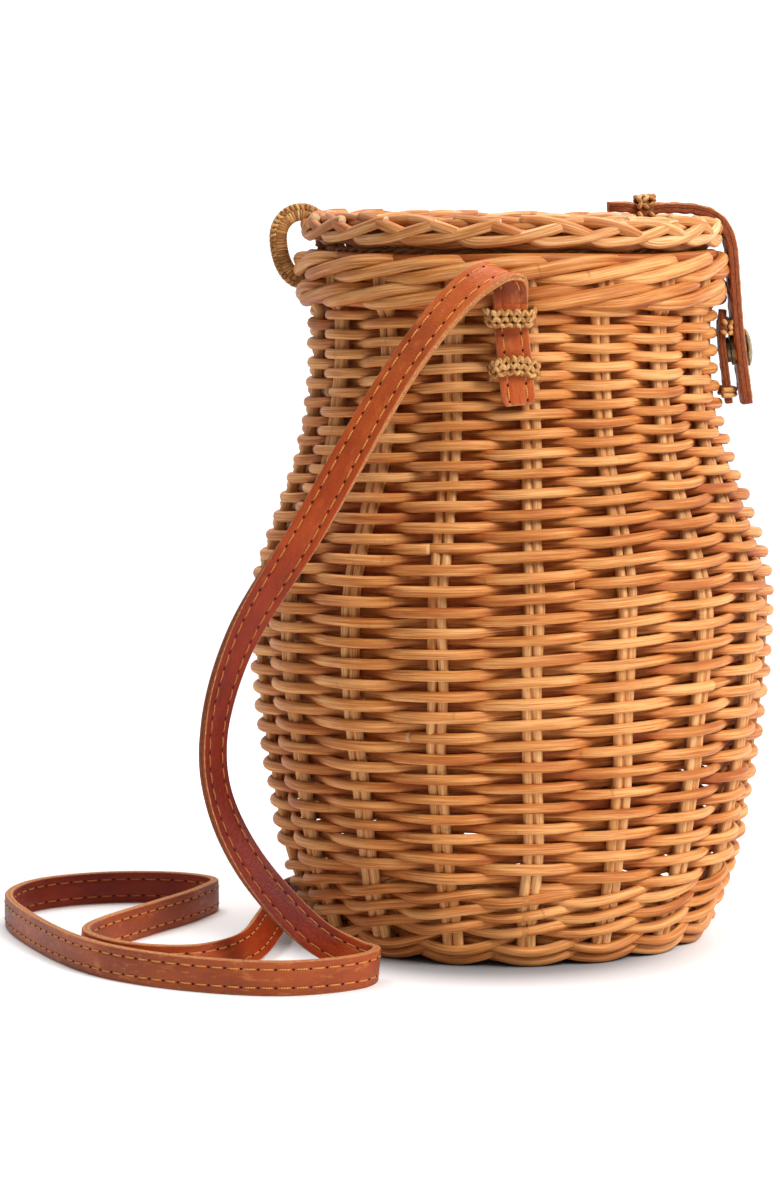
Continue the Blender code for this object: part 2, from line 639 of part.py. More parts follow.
def wall_clearance(z):
    """Distance from the axis that clears the wall over a keeper's whole height."""
    return max(wall_radius(z - KEEPER_HEIGHT / 2), wall_radius(z + KEEPER_HEIGHT / 2)) + 2 * GAP


def make_keepers():
    back_and_front = {"front": -math.pi / 2, "back": math.pi / 2}
    for side, facing in back_and_front.items():
        for level, z in KEEPER_HEIGHTS.items():
            under = max(strap_end_distance(z - KEEPER_HEIGHT / 2), strap_end_distance(z + KEEPER_HEIGHT / 2))
            top = under + STRAP_THICKNESS / 2 + 3 * GAP + KEEPER_THICKNESS / 2
            bridge(f"{side}_keeper_{level}", KEEPER_HALF_SPAN, top, z, facing, KEEPER_HEIGHT, KEEPER_THICKNESS,
                   strap_end_x(side, z))
    tab = tab_path()
    half_span = TAB_WIDTH / 2 + KEEPER_FOOT_SPREAD
    upper_top = tab[0][0] + TAB_THICKNESS / 2 + GAP + TAB_KEEPER_UPPER_LIFT
    bridge("tab_keeper_upper", half_span, upper_top, TAB_KEEPER_UPPER_Z, 0.0, TAB_KEEPER_UPPER_HEIGHT,
           TAB_KEEPER_UPPER_THICKNESS)
    slope = (tab[3][0] - tab[2][0]) / (tab[2][2] - tab[3][2])
    strap_x = tab[3][0] - slope * (TAB_KEEPER_LOWER_Z - tab[3][2])
    lower_top = strap_x + TAB_THICKNESS / 2 + TAB_KEEPER_LOWER_LIFT
    bridge("tab_keeper_lower", half_span, lower_top, TAB_KEEPER_LOWER_Z, 0.0, TAB_KEEPER_LOWER_HEIGHT,
           TAB_KEEPER_LOWER_THICKNESS)
    make_lid_keeper()


def make_lid_keeper():
    """A cane loop that ties the closure strap down to the lid."""
    top = CLOSURE_Z + CLOSURE_THICKNESS / 2 + GAP + KEEPER_THICKNESS / 2
    shape = loop_shape(CLOSURE_WIDTH / 2 + LID_KEEPER_SIDE_GAP, LID_KEEPER_BOTTOM, top)
    points = [(LID_KEEPER_X, y, z) for y, z in shape]
    add_part("lid_keeper", straight_ribbon("lid_keeper", points, (1, 0, 0), KEEPER_HEIGHT, KEEPER_THICKNESS), "cane")


# ---------------------------------------------------------------- shoulder strap


def strap_end_distance(z):
    """Distance from the axis to the middle of the strap's fixed end, which lies on the wall and then the rim."""
    on_wall = wall_radius(z) + STRAP_TO_WALL + STRAP_THICKNESS / 2
    low, high = STRAP_STEP_Z
    share = min(1.0, max(0.0, (z - low) / (high - low)))
    return on_wall + (STRAP_EXIT_Y - on_wall) * share


def strap_end_x(side, z):
    """The front end leans a little, and the back end hangs straight."""
    top = STRAP_STEP_Z[0]
    share = max(0.0, (top - z) / (top - STRAP_END_BOTTOM_Z))
    return FRONT_END_TOP_X + FRONT_END_LEAN * share if side == "front" else 0.0


def make_shoulder_strap():
    for side, sign in (("front", -1), ("back", 1)):
        points = []
        for z in (STRAP_END_BOTTOM_Z, *STRAP_END_HEIGHTS, *STRAP_STEP_Z, STRAP_EXIT_Z - GAP):
            points.append((strap_end_x(side, z), sign * strap_end_distance(z), z))
        name = f"shoulder_strap_{side}_end"
        add_part(name, straight_ribbon(name, points, (1, 0, 0), STRAP_WIDTH, STRAP_THICKNESS), "leather")
    points, widths = smooth_route(STRAP_ROUTE_MM, STRAP_SECTIONS_PER_SPAN)
    add_part("shoulder_strap", ribbon("shoulder_strap", points, widths, STRAP_WIDTH, STRAP_THICKNESS), "leather", 60)


clear_scene()
parts = new_collection("bucket_bag")
cutters = new_collection("cutters")
make_wall()
make_foot_and_base()
make_rim()
make_hinge_ring()
make_lid()
make_closure()
make_keepers()
make_shoulder_strap()
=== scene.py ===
"""Looks of the wicker bucket bag: interlaced reeds, plaited borders, knotted cane ties and stitched leather.

Everything is in metres in the CAD model's frame: +Z up, -X the lid's hinge ring, +X the snap closure, and the
shoulder strap held at -Y and +Y. Each piece of weave is rods swept along the path that a weaver's hands would
give them.
"""

import math

import bpy
import numpy as np
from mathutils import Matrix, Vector


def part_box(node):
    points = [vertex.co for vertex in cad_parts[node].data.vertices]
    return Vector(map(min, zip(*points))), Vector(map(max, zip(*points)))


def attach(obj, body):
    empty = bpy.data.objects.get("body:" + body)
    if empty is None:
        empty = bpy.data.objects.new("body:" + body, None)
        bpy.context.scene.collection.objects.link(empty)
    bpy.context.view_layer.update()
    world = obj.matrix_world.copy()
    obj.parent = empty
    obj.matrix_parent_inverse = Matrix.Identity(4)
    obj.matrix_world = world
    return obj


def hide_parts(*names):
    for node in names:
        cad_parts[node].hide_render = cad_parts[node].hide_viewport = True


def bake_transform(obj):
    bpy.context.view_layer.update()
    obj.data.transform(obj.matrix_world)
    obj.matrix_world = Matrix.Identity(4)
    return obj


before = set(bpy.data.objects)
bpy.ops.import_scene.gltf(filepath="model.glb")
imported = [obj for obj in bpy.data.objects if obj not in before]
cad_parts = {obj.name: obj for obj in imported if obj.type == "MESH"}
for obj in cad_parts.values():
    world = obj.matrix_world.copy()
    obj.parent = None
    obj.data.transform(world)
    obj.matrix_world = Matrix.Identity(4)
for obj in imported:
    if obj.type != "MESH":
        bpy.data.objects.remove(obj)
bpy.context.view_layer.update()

MM = 0.001
TURN = 2 * math.pi

# ---------------- camera, floor and light

IMAGE_HEIGHT_PX = 1196
FOCAL_PX = 3905
CAMERA_PLACE = (-0.0403, -1.3, 0.258)
CAMERA_DOWN = math.radians(6.41)


def place_object(name, data, place=(0, 0, 0)):
    obj = bpy.data.objects.new(name, data)
    obj.location = place
    bpy.context.scene.collection.objects.link(obj)
    return obj


def make_camera():
    data = bpy.data.cameras.new("camera")
    data.sensor_fit = "VERTICAL"
    data.angle = 2 * math.atan(IMAGE_HEIGHT_PX / 2 / FOCAL_PX)
    data.clip_start = 0.05
    camera = place_object("camera", data, CAMERA_PLACE)
    camera.rotation_euler = (math.pi / 2 - CAMERA_DOWN, 0, 0)
    bpy.context.scene.camera = camera


def area_light(name, place, target, size, power):
    data = bpy.data.lights.new(name, "AREA")
    data.shape = "DISK"
    data.size = size
    data.energy = power
    light = place_object(name, data, place)
    light.rotation_euler = (Vector(target) - Vector(place)).to_track_quat("-Z", "Y").to_euler()


# The world's strength in front and behind, and then its share at the left and at the right.
FRONT_TO_BEHIND = (0.3, 1.15)
LEFT_TO_RIGHT = (0.78, 1.28)
# Place, target, size and power of each lamp.
KEY_LIGHT = ((0.85, -0.8, 1.05), (0, 0, 0.12), 0.7, 24.5)
FLOOR_WASH = ((-0.22, 0.4, 1.5), (-0.08, 0.1, 0), 1.1, 15)
FLOOR_X, FLOOR_Y = (-0.45, 0.45), (-0.65, 0.5)
# Painted contact shadow: soft grey painted on the floor, close in front of the foot.
PAINTED_SHADOW_MIDDLE = (-0.006, -0.024, 0.0)
PAINTED_SHADOW_RADII = (0.0418, 0.0742)
PAINTED_SHADOW_GREYS = ((0.0, (0.22, 0.22, 0.23)), (0.32, (0.38, 0.38, 0.39)), (0.7, (0.74, 0.74, 0.75)),
               (1.0, (0.93, 0.93, 0.93)))


def make_light():
    world = bpy.data.worlds.new("studio")
    world.use_nodes = True
    tree = world.node_tree
    direction = make(tree, "ShaderNodeSeparateXYZ", {0: make(tree, "ShaderNodeTexCoord").outputs["Generated"]})
    behind = remap(tree, direction.outputs["Y"], -0.1, 0.5, *FRONT_TO_BEHIND)
    to_right = remap(tree, direction.outputs["X"], -1.0, 1.0, *LEFT_TO_RIGHT)
    background = tree.nodes["Background"]
    background.inputs["Color"].default_value = (1, 1, 1, 1)
    tree.links.new(math_node(tree, "MULTIPLY", behind, to_right), background.inputs["Strength"])
    bpy.context.scene.world = world
    bpy.context.scene.view_settings.view_transform = "Standard"
    area_light("key", *KEY_LIGHT)
    area_light("floor_wash", *FLOOR_WASH)


def make_floor():
    mesh = bpy.data.meshes.new("floor")
    (left, right), (near, far) = FLOOR_X, FLOOR_Y
    mesh.from_pydata([(left, near, 0), (right, near, 0), (right, far, 0), (left, far, 0)], [], [(0, 1, 2, 3)])
    material, tree, shader = blank_material("pale_floor")
    # Painted shadow: the floor's colour turns grey near a point in front of the foot, by the distance from it.
    place = make(tree, "ShaderNodeNewGeometry").outputs["Position"]
    apart = make(tree, "ShaderNodeVectorMath", {0: place, 1: PAINTED_SHADOW_MIDDLE}, operation="DISTANCE")
    share = remap(tree, apart.outputs["Value"], *PAINTED_SHADOW_RADII)
    tree.links.new(ramp(tree, share, PAINTED_SHADOW_GREYS), shader.inputs["Base Color"])
    shader.inputs["Roughness"].default_value = 0.9
    mesh.materials.append(material)
    place_object("floor", mesh)


# ---------------- materials


def blank_material(name):
    material = bpy.data.materials.new(name)
    material.use_nodes = True
    tree = material.node_tree
    return material, tree, tree.nodes["Principled BSDF"]


def make(tree, kind, inputs=None, **settings):
    """A new node. Its inputs are numbers, colours or other nodes' outputs."""
    node = tree.nodes.new(kind)
    for key, value in settings.items():
        setattr(node, key, value)
    for key, value in (inputs or {}).items():
        if isinstance(value, bpy.types.NodeSocket):
            tree.links.new(value, node.inputs[key])
        else:
            node.inputs[key].default_value = value
    return node


def kept(tree, name, output="Fac"):
    """A value that the mesh keeps at its vertices."""
    return make(tree, "ShaderNodeAttribute", attribute_name=name).outputs[output]


def stretched_noise(tree, vector, scale, detail=3.0, roughness=0.55):
    """Noise along a vector whose three directions are scaled apart."""
    space = make(tree, "ShaderNodeVectorMath", {0: vector, 1: scale}, operation="MULTIPLY").outputs[0]
    inputs = {"Vector": space, "Scale": 1.0, "Detail": detail, "Roughness": roughness}
    return make(tree, "ShaderNodeTexNoise", inputs).outputs["Fac"]


def math_node(tree, operation, a, b, clamp=False):
    return make(tree, "ShaderNodeMath", {0: a, 1: b}, operation=operation, use_clamp=clamp).outputs[0]


def ramp(tree, value, stops):
    """Colours at places along a value."""
    node = make(tree, "ShaderNodeValToRGB", {"Fac": value})
    elements = node.color_ramp.elements
    while len(elements) < len(stops):
        elements.new(0.5)
    for element, (place, colour) in zip(elements, stops):
        element.position = place
        element.color = (*colour, 1)
    return node.outputs["Color"]


def remap(tree, value, low, high, to_low=0.0, to_high=1.0):
    inputs = {"Value": value, "From Min": low, "From Max": high, "To Min": to_low, "To Max": to_high}
    return make(tree, "ShaderNodeMapRange", inputs).outputs["Result"]


def mix_colour(tree, share, a, b, blend="MIX"):
    node = make(tree, "ShaderNodeMix", data_type="RGBA", blend_type=blend)
    for socket, value in ((node.inputs[0], share), (node.inputs[6], a), (node.inputs[7], b)):
        if isinstance(value, bpy.types.NodeSocket):
            tree.links.new(value, socket)
        elif isinstance(value, tuple):
            socket.default_value = (*value, 1)
        else:
            socket.default_value = value
    return node.outputs[2]


def tint(tree, colour, value, span, most, other):
    """Lays another colour over a colour: none at the span's first value, a share of most at its second."""
    return mix_colour(tree, remap(tree, value, *span, 0.0, most), colour, other)


def gain_about(tree, value, middle, gain):
    return math_node(tree, "MULTIPLY", math_node(tree, "SUBTRACT", value, middle), gain)


def dimmed(colour, share):
    return tuple(v * share for v in colour)


def finish_shader(tree, shader, colour, roughness, height, depth, strength=1.0, specular=0.5):
    """Links a shader's colour and roughness, and a relief that is so deep in metres."""
    relief = make(tree, "ShaderNodeBump", {"Height": height, "Distance": depth, "Strength": strength})
    tree.links.new(colour, shader.inputs["Base Color"])
    tree.links.new(roughness, shader.inputs["Roughness"])
    tree.links.new(relief.outputs["Normal"], shader.inputs["Normal"])
    shader.inputs["Specular IOR Level"].default_value = specular


def reed_material(name, dark, middle, pale, pith, roughness):
    """Peeled rattan: long fibres, slow changes of colour, dark joints and pale pith at cut ends."""
    material, tree, shader = blank_material(name)
    grain = kept(tree, "grain", "Vector")
    fibres = stretched_noise(tree, grain, (1050, 1050, 26), 5.0, 0.72)
    fine_fibres = stretched_noise(tree, grain, (2600, 2600, 60))
    blotches = stretched_noise(tree, grain, (260, 260, 34))
    place = math_node(tree, "ADD", kept(tree, "tone"), gain_about(tree, fibres, 0.47, 2.8))
    place = math_node(tree, "ADD", place, gain_about(tree, blotches, 0.5, 1.5), clamp=True)
    colour = ramp(tree, place, [(0.0, dark), (0.5, middle), (1.0, pale)])
    colour = tint(tree, colour, fine_fibres, (0.5, 0.66), 0.65, dark)
    joints = stretched_noise(tree, grain, (60, 60, 210), 2.0)
    colour = tint(tree, colour, joints, (0.66, 0.76), 0.55, dimmed(dark, 0.6))
    pores = stretched_noise(tree, grain, (6500, 6500, 400), 1.0)
    end_colour = ramp(tree, pores, [(0.35, dimmed(pith, 0.45)), (0.6, pith)])
    colour = mix_colour(tree, kept(tree, "cut"), colour, end_colour)
    gloss = remap(tree, fibres, 0.3, 0.7, roughness - 0.07, roughness + 0.13)
    height = math_node(tree, "ADD", fibres, math_node(tree, "MULTIPLY", fine_fibres, 0.5))
    finish_shader(tree, shader, colour, gloss, height, 0.0003, 0.8, 0.3)
    return material


def leather_material():
    """Cognac leather: creased grain face, a back face painted darker as shade, and raw and burnished edges of
    two layers.
    """
    material, tree, shader = blank_material("cognac_leather")
    place = kept(tree, "grain", "Vector")
    clouds = stretched_noise(tree, place, (55, 55, 30), 4.0)
    hide = ramp(tree, clouds, [(0.32, (0.27, 0.044, 0.008)), (0.5, (0.44, 0.082, 0.014)),
                               (0.7, (0.58, 0.14, 0.03))])
    # Painted shade: the strap's back face is given this darker colour.
    back = ramp(tree, clouds, [(0.3, (0.18, 0.028, 0.006)), (0.7, (0.36, 0.068, 0.014))])
    colour = mix_colour(tree, kept(tree, "painted_shade_face"), hide, back)
    wear = stretched_noise(tree, place, (420, 420, 160), 5.0, 0.65)
    colour = tint(tree, colour, wear, (0.56, 0.74), 0.5, (0.66, 0.22, 0.065))
    creases = stretched_noise(tree, place, (700, 700, 260), 6.0, 0.7)
    # Painted shade: the colour darkens in the creases' grooves, where the relief sinks.
    colour = tint(tree, colour, creases, (0.36, 0.28), 0.55, (0.11, 0.018, 0.006))
    # Painted light and shade: the colour is multiplied by the lightness kept along the strap.
    colour = mix_colour(tree, 1.0, colour, kept(tree, "painted_shading", "Color"), "MULTIPLY")
    fuzz = stretched_noise(tree, place, (2600, 2600, 900), 4.0, 0.7)
    raw = kept(tree, "raw")
    edge = ramp(tree, fuzz, [(0.32, (0.2, 0.06, 0.018)), (0.5, (0.44, 0.17, 0.055)),
                             (0.7, (0.66, 0.34, 0.14))])
    colour = mix_colour(tree, math_node(tree, "MINIMUM", raw, 1.0), colour, edge)
    burnish = ramp(tree, fuzz, [(0.3, (0.13, 0.026, 0.008)), (0.55, (0.27, 0.066, 0.02)),
                                (0.75, (0.42, 0.13, 0.045))])
    colour = mix_colour(tree, math_node(tree, "SUBTRACT", raw, 1.0, clamp=True), colour, burnish)
    pebbles = make(tree, "ShaderNodeTexVoronoi", {"Vector": place, "Scale": 1500.0}, feature="SMOOTH_F1")
    height = math_node(tree, "ADD", pebbles.outputs["Distance"], math_node(tree, "MULTIPLY", creases, 1.6))
    height = math_node(tree, "ADD", height, math_node(tree, "MULTIPLY", fuzz, raw))
    gloss = remap(tree, creases, 0.3, 0.7, 0.36, 0.58)
    gloss = make(tree, "ShaderNodeMix", {"Factor": raw, "A": gloss, "B": 0.75}, data_type="FLOAT").outputs[0]
    finish_shader(tree, shader, colour, gloss, height, 0.00016, 0.8, 0.25)
    return material


def thread_material():
    """Waxed golden thread, painted darker as shade where tone falls, and punched holes painted near-black as
    shade where tone is below nothing.
    """
    material, tree, shader = blank_material("waxed_thread")
    inputs = {"Vector": kept(tree, "grain", "Vector"), "Scale": 380.0, "Distortion": 1.5}
    twist = make(tree, "ShaderNodeTexWave", inputs, bands_direction="Z").outputs["Fac"]
    tone = kept(tree, "tone")
    hole = math_node(tree, "LESS_THAN", tone, 0.0)
    colour = ramp(tree, twist, [(0.1, (0.5, 0.17, 0.035)), (0.8, (0.7, 0.29, 0.075))])
    # Painted shade: the thread darkens with the strap's painted lightness, and each hole is painted near-black.
    colour = tint(tree, colour, tone, (1.0, 0.3), 0.62, (0.16, 0.036, 0.008))
    colour = mix_colour(tree, hole, colour, (0.045, 0.01, 0.004))
    finish_shader(tree, shader, colour, remap(tree, hole, 0.0, 1.0, 0.6, 1.0), twist, 0.00012, specular=0.15)
    return material


def metal_material(name, colour, tarnish, roughness):
    """Brushed and handled metal with tarnish in patches."""
    material, tree, shader = blank_material(name)
    place = make(tree, "ShaderNodeTexCoord").outputs["Object"]
    patches = stretched_noise(tree, place, (420, 420, 420), 5.0, 0.65)
    tone = ramp(tree, patches, [(0.35, tarnish), (0.6, colour)])
    gloss = remap(tree, patches, 0.3, 0.7, roughness + 0.18, roughness)
    finish_shader(tree, shader, tone, gloss, stretched_noise(tree, place, (300, 4000, 900)), 0.00005)
    shader.inputs["Metallic"].default_value = 1.0
    return material


# ---------------- swept rods


def unit(vectors):
    return vectors / np.linalg.norm(vectors, axis=-1, keepdims=True)


def points_at(x, y, z):
    """Points, or other sets of three, from their three values, which may be single numbers."""
    return np.stack(np.broadcast_arrays(x, y, z), axis=-1)


def around(angle, radius, z):
    """Points at an angle round the basket's axis, a distance from it and a height."""
    return points_at(radius * np.cos(angle), radius * np.sin(angle), z)


def outward_from_axis(points):
    flat = np.array(points, float)
    flat[:, 2] = 0
    return unit(flat)


def wander(t, seed, period, size):
    """A smooth wave along t that doesn't repeat, up to about the given size."""
    phases = np.random.default_rng(seed).uniform(0, TURN, 3)
    shares = (1, 0.62, 0.37)
    return size * sum(k * np.sin(TURN * t / (period * k) + phase) for k, phase in zip(shares, phases)) / 1.5


def distance_along(points):
    """How far along its line each point lies."""
    return np.concatenate(([0], np.cumsum(np.linalg.norm(np.diff(points, axis=0), axis=1))))


def tube_faces(rings, sides, closed=False):
    """Four-sided faces between rings of points. closed joins the last ring to the first."""
    rows = np.arange(rings if closed else rings - 1)[:, None] * sides
    following = (rows + sides) % (rings * sides)
    columns = np.arange(sides)[None, :]
    turned = (columns + 1) % sides
    corners = (rows + columns, rows + turned, following + turned, following + columns)
    return np.stack(corners, axis=-1).reshape(-1, 4)


def add_object(name, mesh, material, smooth_deg=50):
    mesh.materials.append(material)
    mesh.shade_smooth()
    mesh.set_sharp_from_angle(angle=math.radians(smooth_deg))
    return place_object(name, mesh)


def settle(obj, body, slot, *nodes):
    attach(obj, body)
    if nodes:
        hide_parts(*nodes)
    return obj


END_BEVEL = 0.16  # of a cut end, as a share of the rod's radius


class Rods:
    """Rods gathered into one mesh. Each vertex keeps its place in its own rod, so that the grain follows it."""

    def __init__(self, seed, sides=10):
        self.random = np.random.default_rng(seed)
        self.sides = sides
        self.places, self.grain, self.tone, self.cut, self.faces = [], [], [], [], []
        self.count = 0

    def add(self, path, radius, outward, tone, closed=False, flatten=1.0, cut=1.0):
        """Sweeps a round section along path. flatten thins it in its outward direction, or directions."""
        path = np.asarray(path, float)
        n, s = len(path), self.sides
        radius, tone = (np.broadcast_to(np.asarray(v, float), n) for v in (radius, tone))
        along = unit(np.roll(path, -1, 0) - np.roll(path, 1, 0) if closed else np.gradient(path, axis=0))
        out = np.broadcast_to(np.asarray(outward, float), (n, 3))
        out = unit(out - (out * along).sum(1, keepdims=True) * along)
        across = np.cross(along, out)
        distance = distance_along(path) + self.random.uniform(0, 3)
        cuts = np.zeros(n)
        if not closed:
            n += 2
            caps = [path[i] + side * along[i] * radius[i] * END_BEVEL for i, side in ((0, -1), (-1, 1))]
            path = np.concatenate(([caps[0]], path, [caps[1]]))
            doubled = (np.concatenate((v[:1], v, v[-1:])) for v in (radius, out, across, tone, distance, cuts))
            radius, out, across, tone, distance, cuts = doubled
            radius[[0, -1]] *= 1 - END_BEVEL
            cuts[[0, -1]] = cut
        turn = np.linspace(0, TURN, s, endpoint=False)
        cos, sin = np.cos(turn), np.sin(turn)
        spread = flatten * out[:, None] * cos[None, :, None] + across[:, None] * sin[None, :, None]
        self.places.append((path[:, None] + radius[:, None, None] * spread).reshape(-1, 3))
        grain = points_at(radius[:, None] * cos, radius[:, None] * sin, distance[:, None])
        self.grain.append(grain.reshape(-1, 3))
        self.tone.append(np.repeat(tone, s))
        self.cut.append(np.repeat(cuts, s))
        self.faces += (tube_faces(n, s, closed) + self.count).tolist()
        if not closed:
            self.faces.append([self.count + k for k in reversed(range(s))])
            self.faces.append([self.count + (n - 1) * s + k for k in range(s)])
        self.count += n * s

    def add_round(self, angle, distance, z, radius, tone, **shape):
        """A rod laid round the basket's axis, at angles, distances and heights."""
        path = around(angle, distance, z)
        self.add(path, radius, outward_from_axis(path), tone, **shape)

    def build(self, name, material):
        mesh = bpy.data.meshes.new(name)
        mesh.from_pydata(np.concatenate(self.places).tolist(), [], self.faces)
        for kind, values in (("grain", self.grain), ("tone", self.tone), ("cut", self.cut)):
            keep_at_points(mesh, kind, np.concatenate(values))
        return add_object(name, mesh, material)


def keep_at_points(mesh, name, values):
    vector = values.ndim == 2
    attribute = mesh.attributes.new(name, "FLOAT_VECTOR" if vector else "FLOAT", "POINT")
    attribute.data.foreach_set("vector" if vector else "value", values.astype(np.float32).ravel())


# ---------------- the woven wall

STAKE_COUNT = 17
STAKE_STEP = TURN / STAKE_COUNT
FIRST_STAKE = math.radians(3.3 - 90.0)
STAKE_RADIUS = 0.0017
STAKE_PUSH = 0.0009  # out from the middle of the weave, so that the pairs show between the rows
STAKE_BOTTOM, STAKE_TOP = 0.0045, 0.2262
FLARE_START, FLARE = 0.2085, 0.003  # height from which the stakes lean out into the rim, and how far
STAKE_APART = 0.0016  # from the middle of a pair to the middle of each rod
WEAVER_RADIUS = 0.00174  # up the wall; it is flatter through it
STAKE_INSET = 0.0051  # from the wall's outer face to the middle of the stakes
WEAVE_SWING = 0.0034
CROSSING_SAMPLES = 9  # points along the weaver from each stake to the next
BAND_TOPS = (0.072, 0.142)  # heights at which one band of weave gives way to the next
REED_PAIRS = (17, 40)  # fewest and most pairs of stakes that one reed crosses
# How far a reed's first and last stretches lie in behind the others, and over how many crossings.
START_TUCK, END_TUCK = (0.003, 0.7), (0.0007, 0.4)
WEAVER_FLATNESS = 0.87
INNER_THICKER, BACK_THICKER = 0.19, 0.14  # shares added to the weaver behind stakes, and at the back
# Heights up the wall, and the number of rows of weave below each.
ROW_HEIGHTS = (0.0268, 0.06, 0.105, 0.15, 0.2112)
ROW_COUNTS = (0.0, 10.4, 24.0, 38.0, 57.6)
FRONT_RISE, LEFT_FALL = 0.0038, 0.0026  # of the rows at the belly
TWINED_ROWS = (0.0127, 0.018, 0.0233)
BAND_NODES = ("side_weave_lower", "side_weave_belly", "side_weave_shoulder")


def measured_wall():
    """Heights and outer radii of the CAD wall, from its bands' own vertices."""
    widest = {}
    for node in BAND_NODES:
        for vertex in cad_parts[node].data.vertices:
            height = round(vertex.co.z, 4)
            widest[height] = max(widest.get(height, 0), math.hypot(vertex.co.x, vertex.co.y))
    heights = sorted(widest)
    kept_heights = [h for i, h in enumerate(heights) if i == 0 or h - heights[i - 1] > 0.001]
    return np.array(kept_heights), np.array([widest[h] for h in kept_heights])


WALL_HEIGHTS, WALL_RADII = measured_wall()


def hermite(value, keys, results, slopes):
    """A smooth curve through the results at the keys, with a given slope at each."""
    i = np.clip(np.searchsorted(keys, value, side="right") - 1, 0, len(keys) - 2)
    h = keys[i + 1] - keys[i]
    t = (value - keys[i]) / h
    ends = (2 * t**3 - 3 * t**2 + 1) * results[i] + (3 * t**2 - 2 * t**3) * results[i + 1]
    return ends + (t**3 - 2 * t**2 + t) * h * slopes[i] + (t**3 - t**2) * h * slopes[i + 1]


def smooth_interp(value, keys, results):
    """A smooth curve through the results at the keys, with one slope at both ends, so that it can repeat."""
    keys, results = np.asarray(keys, float), np.asarray(results, float)
    slopes = np.gradient(results, keys)
    slopes[0] = slopes[-1] = 0.5 * (slopes[0] + slopes[-1])
    return hermite(np.clip(value, keys[0], keys[-1]), keys, results, slopes)


def wall_radius(z):
    """Outer radius of the wall, on a curve through the CAD wall's rings."""
    z = np.clip(np.asarray(z, float), WALL_HEIGHTS[0] - 0.006, WALL_HEIGHTS[-1] + 0.004)
    return hermite(z, WALL_HEIGHTS, WALL_RADII, np.gradient(WALL_RADII, WALL_HEIGHTS))


def level_drift(angle, z):
    """How far the rows rise and fall together round the basket, as hand-woven rows do."""
    small = 0.0007 * np.sin(2 * angle + 21 * z) + 0.0005 * np.sin(3 * angle - 34 * z + 1.0)
    belly = np.sin(math.pi * np.clip((z - ROW_HEIGHTS[0]) / (ROW_HEIGHTS[-1] - ROW_HEIGHTS[0]), 0, 1))
    return small + belly * (-FRONT_RISE * np.sin(angle) + LEFT_FALL * np.cos(angle))


def in_and_out(crossing):
    """+1 outside a stake, at even crossings, and -1 inside one, at odd crossings."""
    wave = np.cos(np.pi * crossing)
    return 1.1 * wave - 0.1 * wave**3


def weaver_path(crossing, seed):
    """Where the single weaver's middle is after so many crossings of the stakes."""
    angle = FIRST_STAKE + crossing * STAKE_STEP
    z = np.interp(crossing / STAKE_COUNT, ROW_COUNTS, ROW_HEIGHTS)
    swing = WEAVE_SWING + wander(crossing, seed + 1, 5.3, 0.00022)
    radius = wall_radius(z) - STAKE_INSET + swing * in_and_out(crossing)
    height = z + level_drift(angle, z) + wander(crossing, seed + 2, 3.1, 0.00016)
    # Over each stake the weaver bows a little, now up and now down.
    height += 0.00024 * np.cos(np.pi * crossing) * np.sin(2.4 * crossing + seed)
    return angle, radius, height


def weave_wall(material):
    """One long weaver laid in several reeds. A worn-out reed ends outside, and the next starts behind it."""
    bands = [Rods(seed) for seed in (11, 12, 13)]
    random = np.random.default_rng(5)
    total = ROW_COUNTS[-1] * STAKE_COUNT
    start = 0.0
    while start < total:
        end = min(total, start + 2 * round(random.uniform(*REED_PAIRS)) + 0.44)
        crossing = np.arange(max(0.0, start - 0.2), end + 1e-6, 1 / CROSSING_SAMPLES)
        angle, radius, z = weaver_path(crossing, 40)
        gaps = (crossing - crossing[0], crossing[-1] - crossing)
        for (tuck, stretch), gap in zip((START_TUCK, END_TUCK), gaps):
            radius = radius - tuck * np.clip(1 - gap / stretch, 0, 1)
        thick = WEAVER_RADIUS * random.uniform(0.94, 1.05) + wander(crossing, int(start), 9.0, 0.00008)
        tone = random.uniform(0.42, 0.8) + wander(crossing, int(start) + 3, 6.5, 0.15)
        # Painted shade: the weaver is drawn darker where it dives in behind a stake.
        tone = tone - 0.42 * np.clip(0.45 - np.cos(np.pi * crossing), 0, 1)
        thick = thick * (1 + INNER_THICKER * np.clip(-np.cos(np.pi * crossing), 0, 1) ** 0.5)
        thick = thick * (1 + BACK_THICKER * np.clip(0.35 + np.sin(angle), 0, 1) ** 0.5)
        band = bands[int(np.searchsorted(BAND_TOPS, z.mean()))]
        band.add_round(angle, radius, z, thick, tone, flatten=WEAVER_FLATNESS)
        start = end
    for height, seed in zip(TWINED_ROWS, (61, 62, 63)):
        add_twined_row(bands[0], height, seed)
    for band, node in zip(bands, BAND_NODES):
        settle(band.build(node.replace("side", "reed"), material), "basket", "woven_reed", node)


def add_twined_row(rods, height, seed):
    """Two weavers twisted once between each stake and the next: one closed rod that goes round twice."""
    crossing = np.arange(0, 2 * STAKE_COUNT, 1 / 12)
    angle = FIRST_STAKE + crossing * STAKE_STEP
    z = height + 0.00158 * np.sin(np.pi * crossing) + wander(crossing, seed, 4.3, 0.0001)
    z = z + level_drift(angle, 0.02) * 0.6
    radius = wall_radius(height) - STAKE_INSET + WEAVE_SWING * in_and_out(crossing)
    tone = 0.55 + wander(crossing, seed + 5, TURN, 0.2)
    rods.add_round(angle, radius, z, WEAVER_RADIUS * 0.98, tone, closed=True, flatten=0.92)


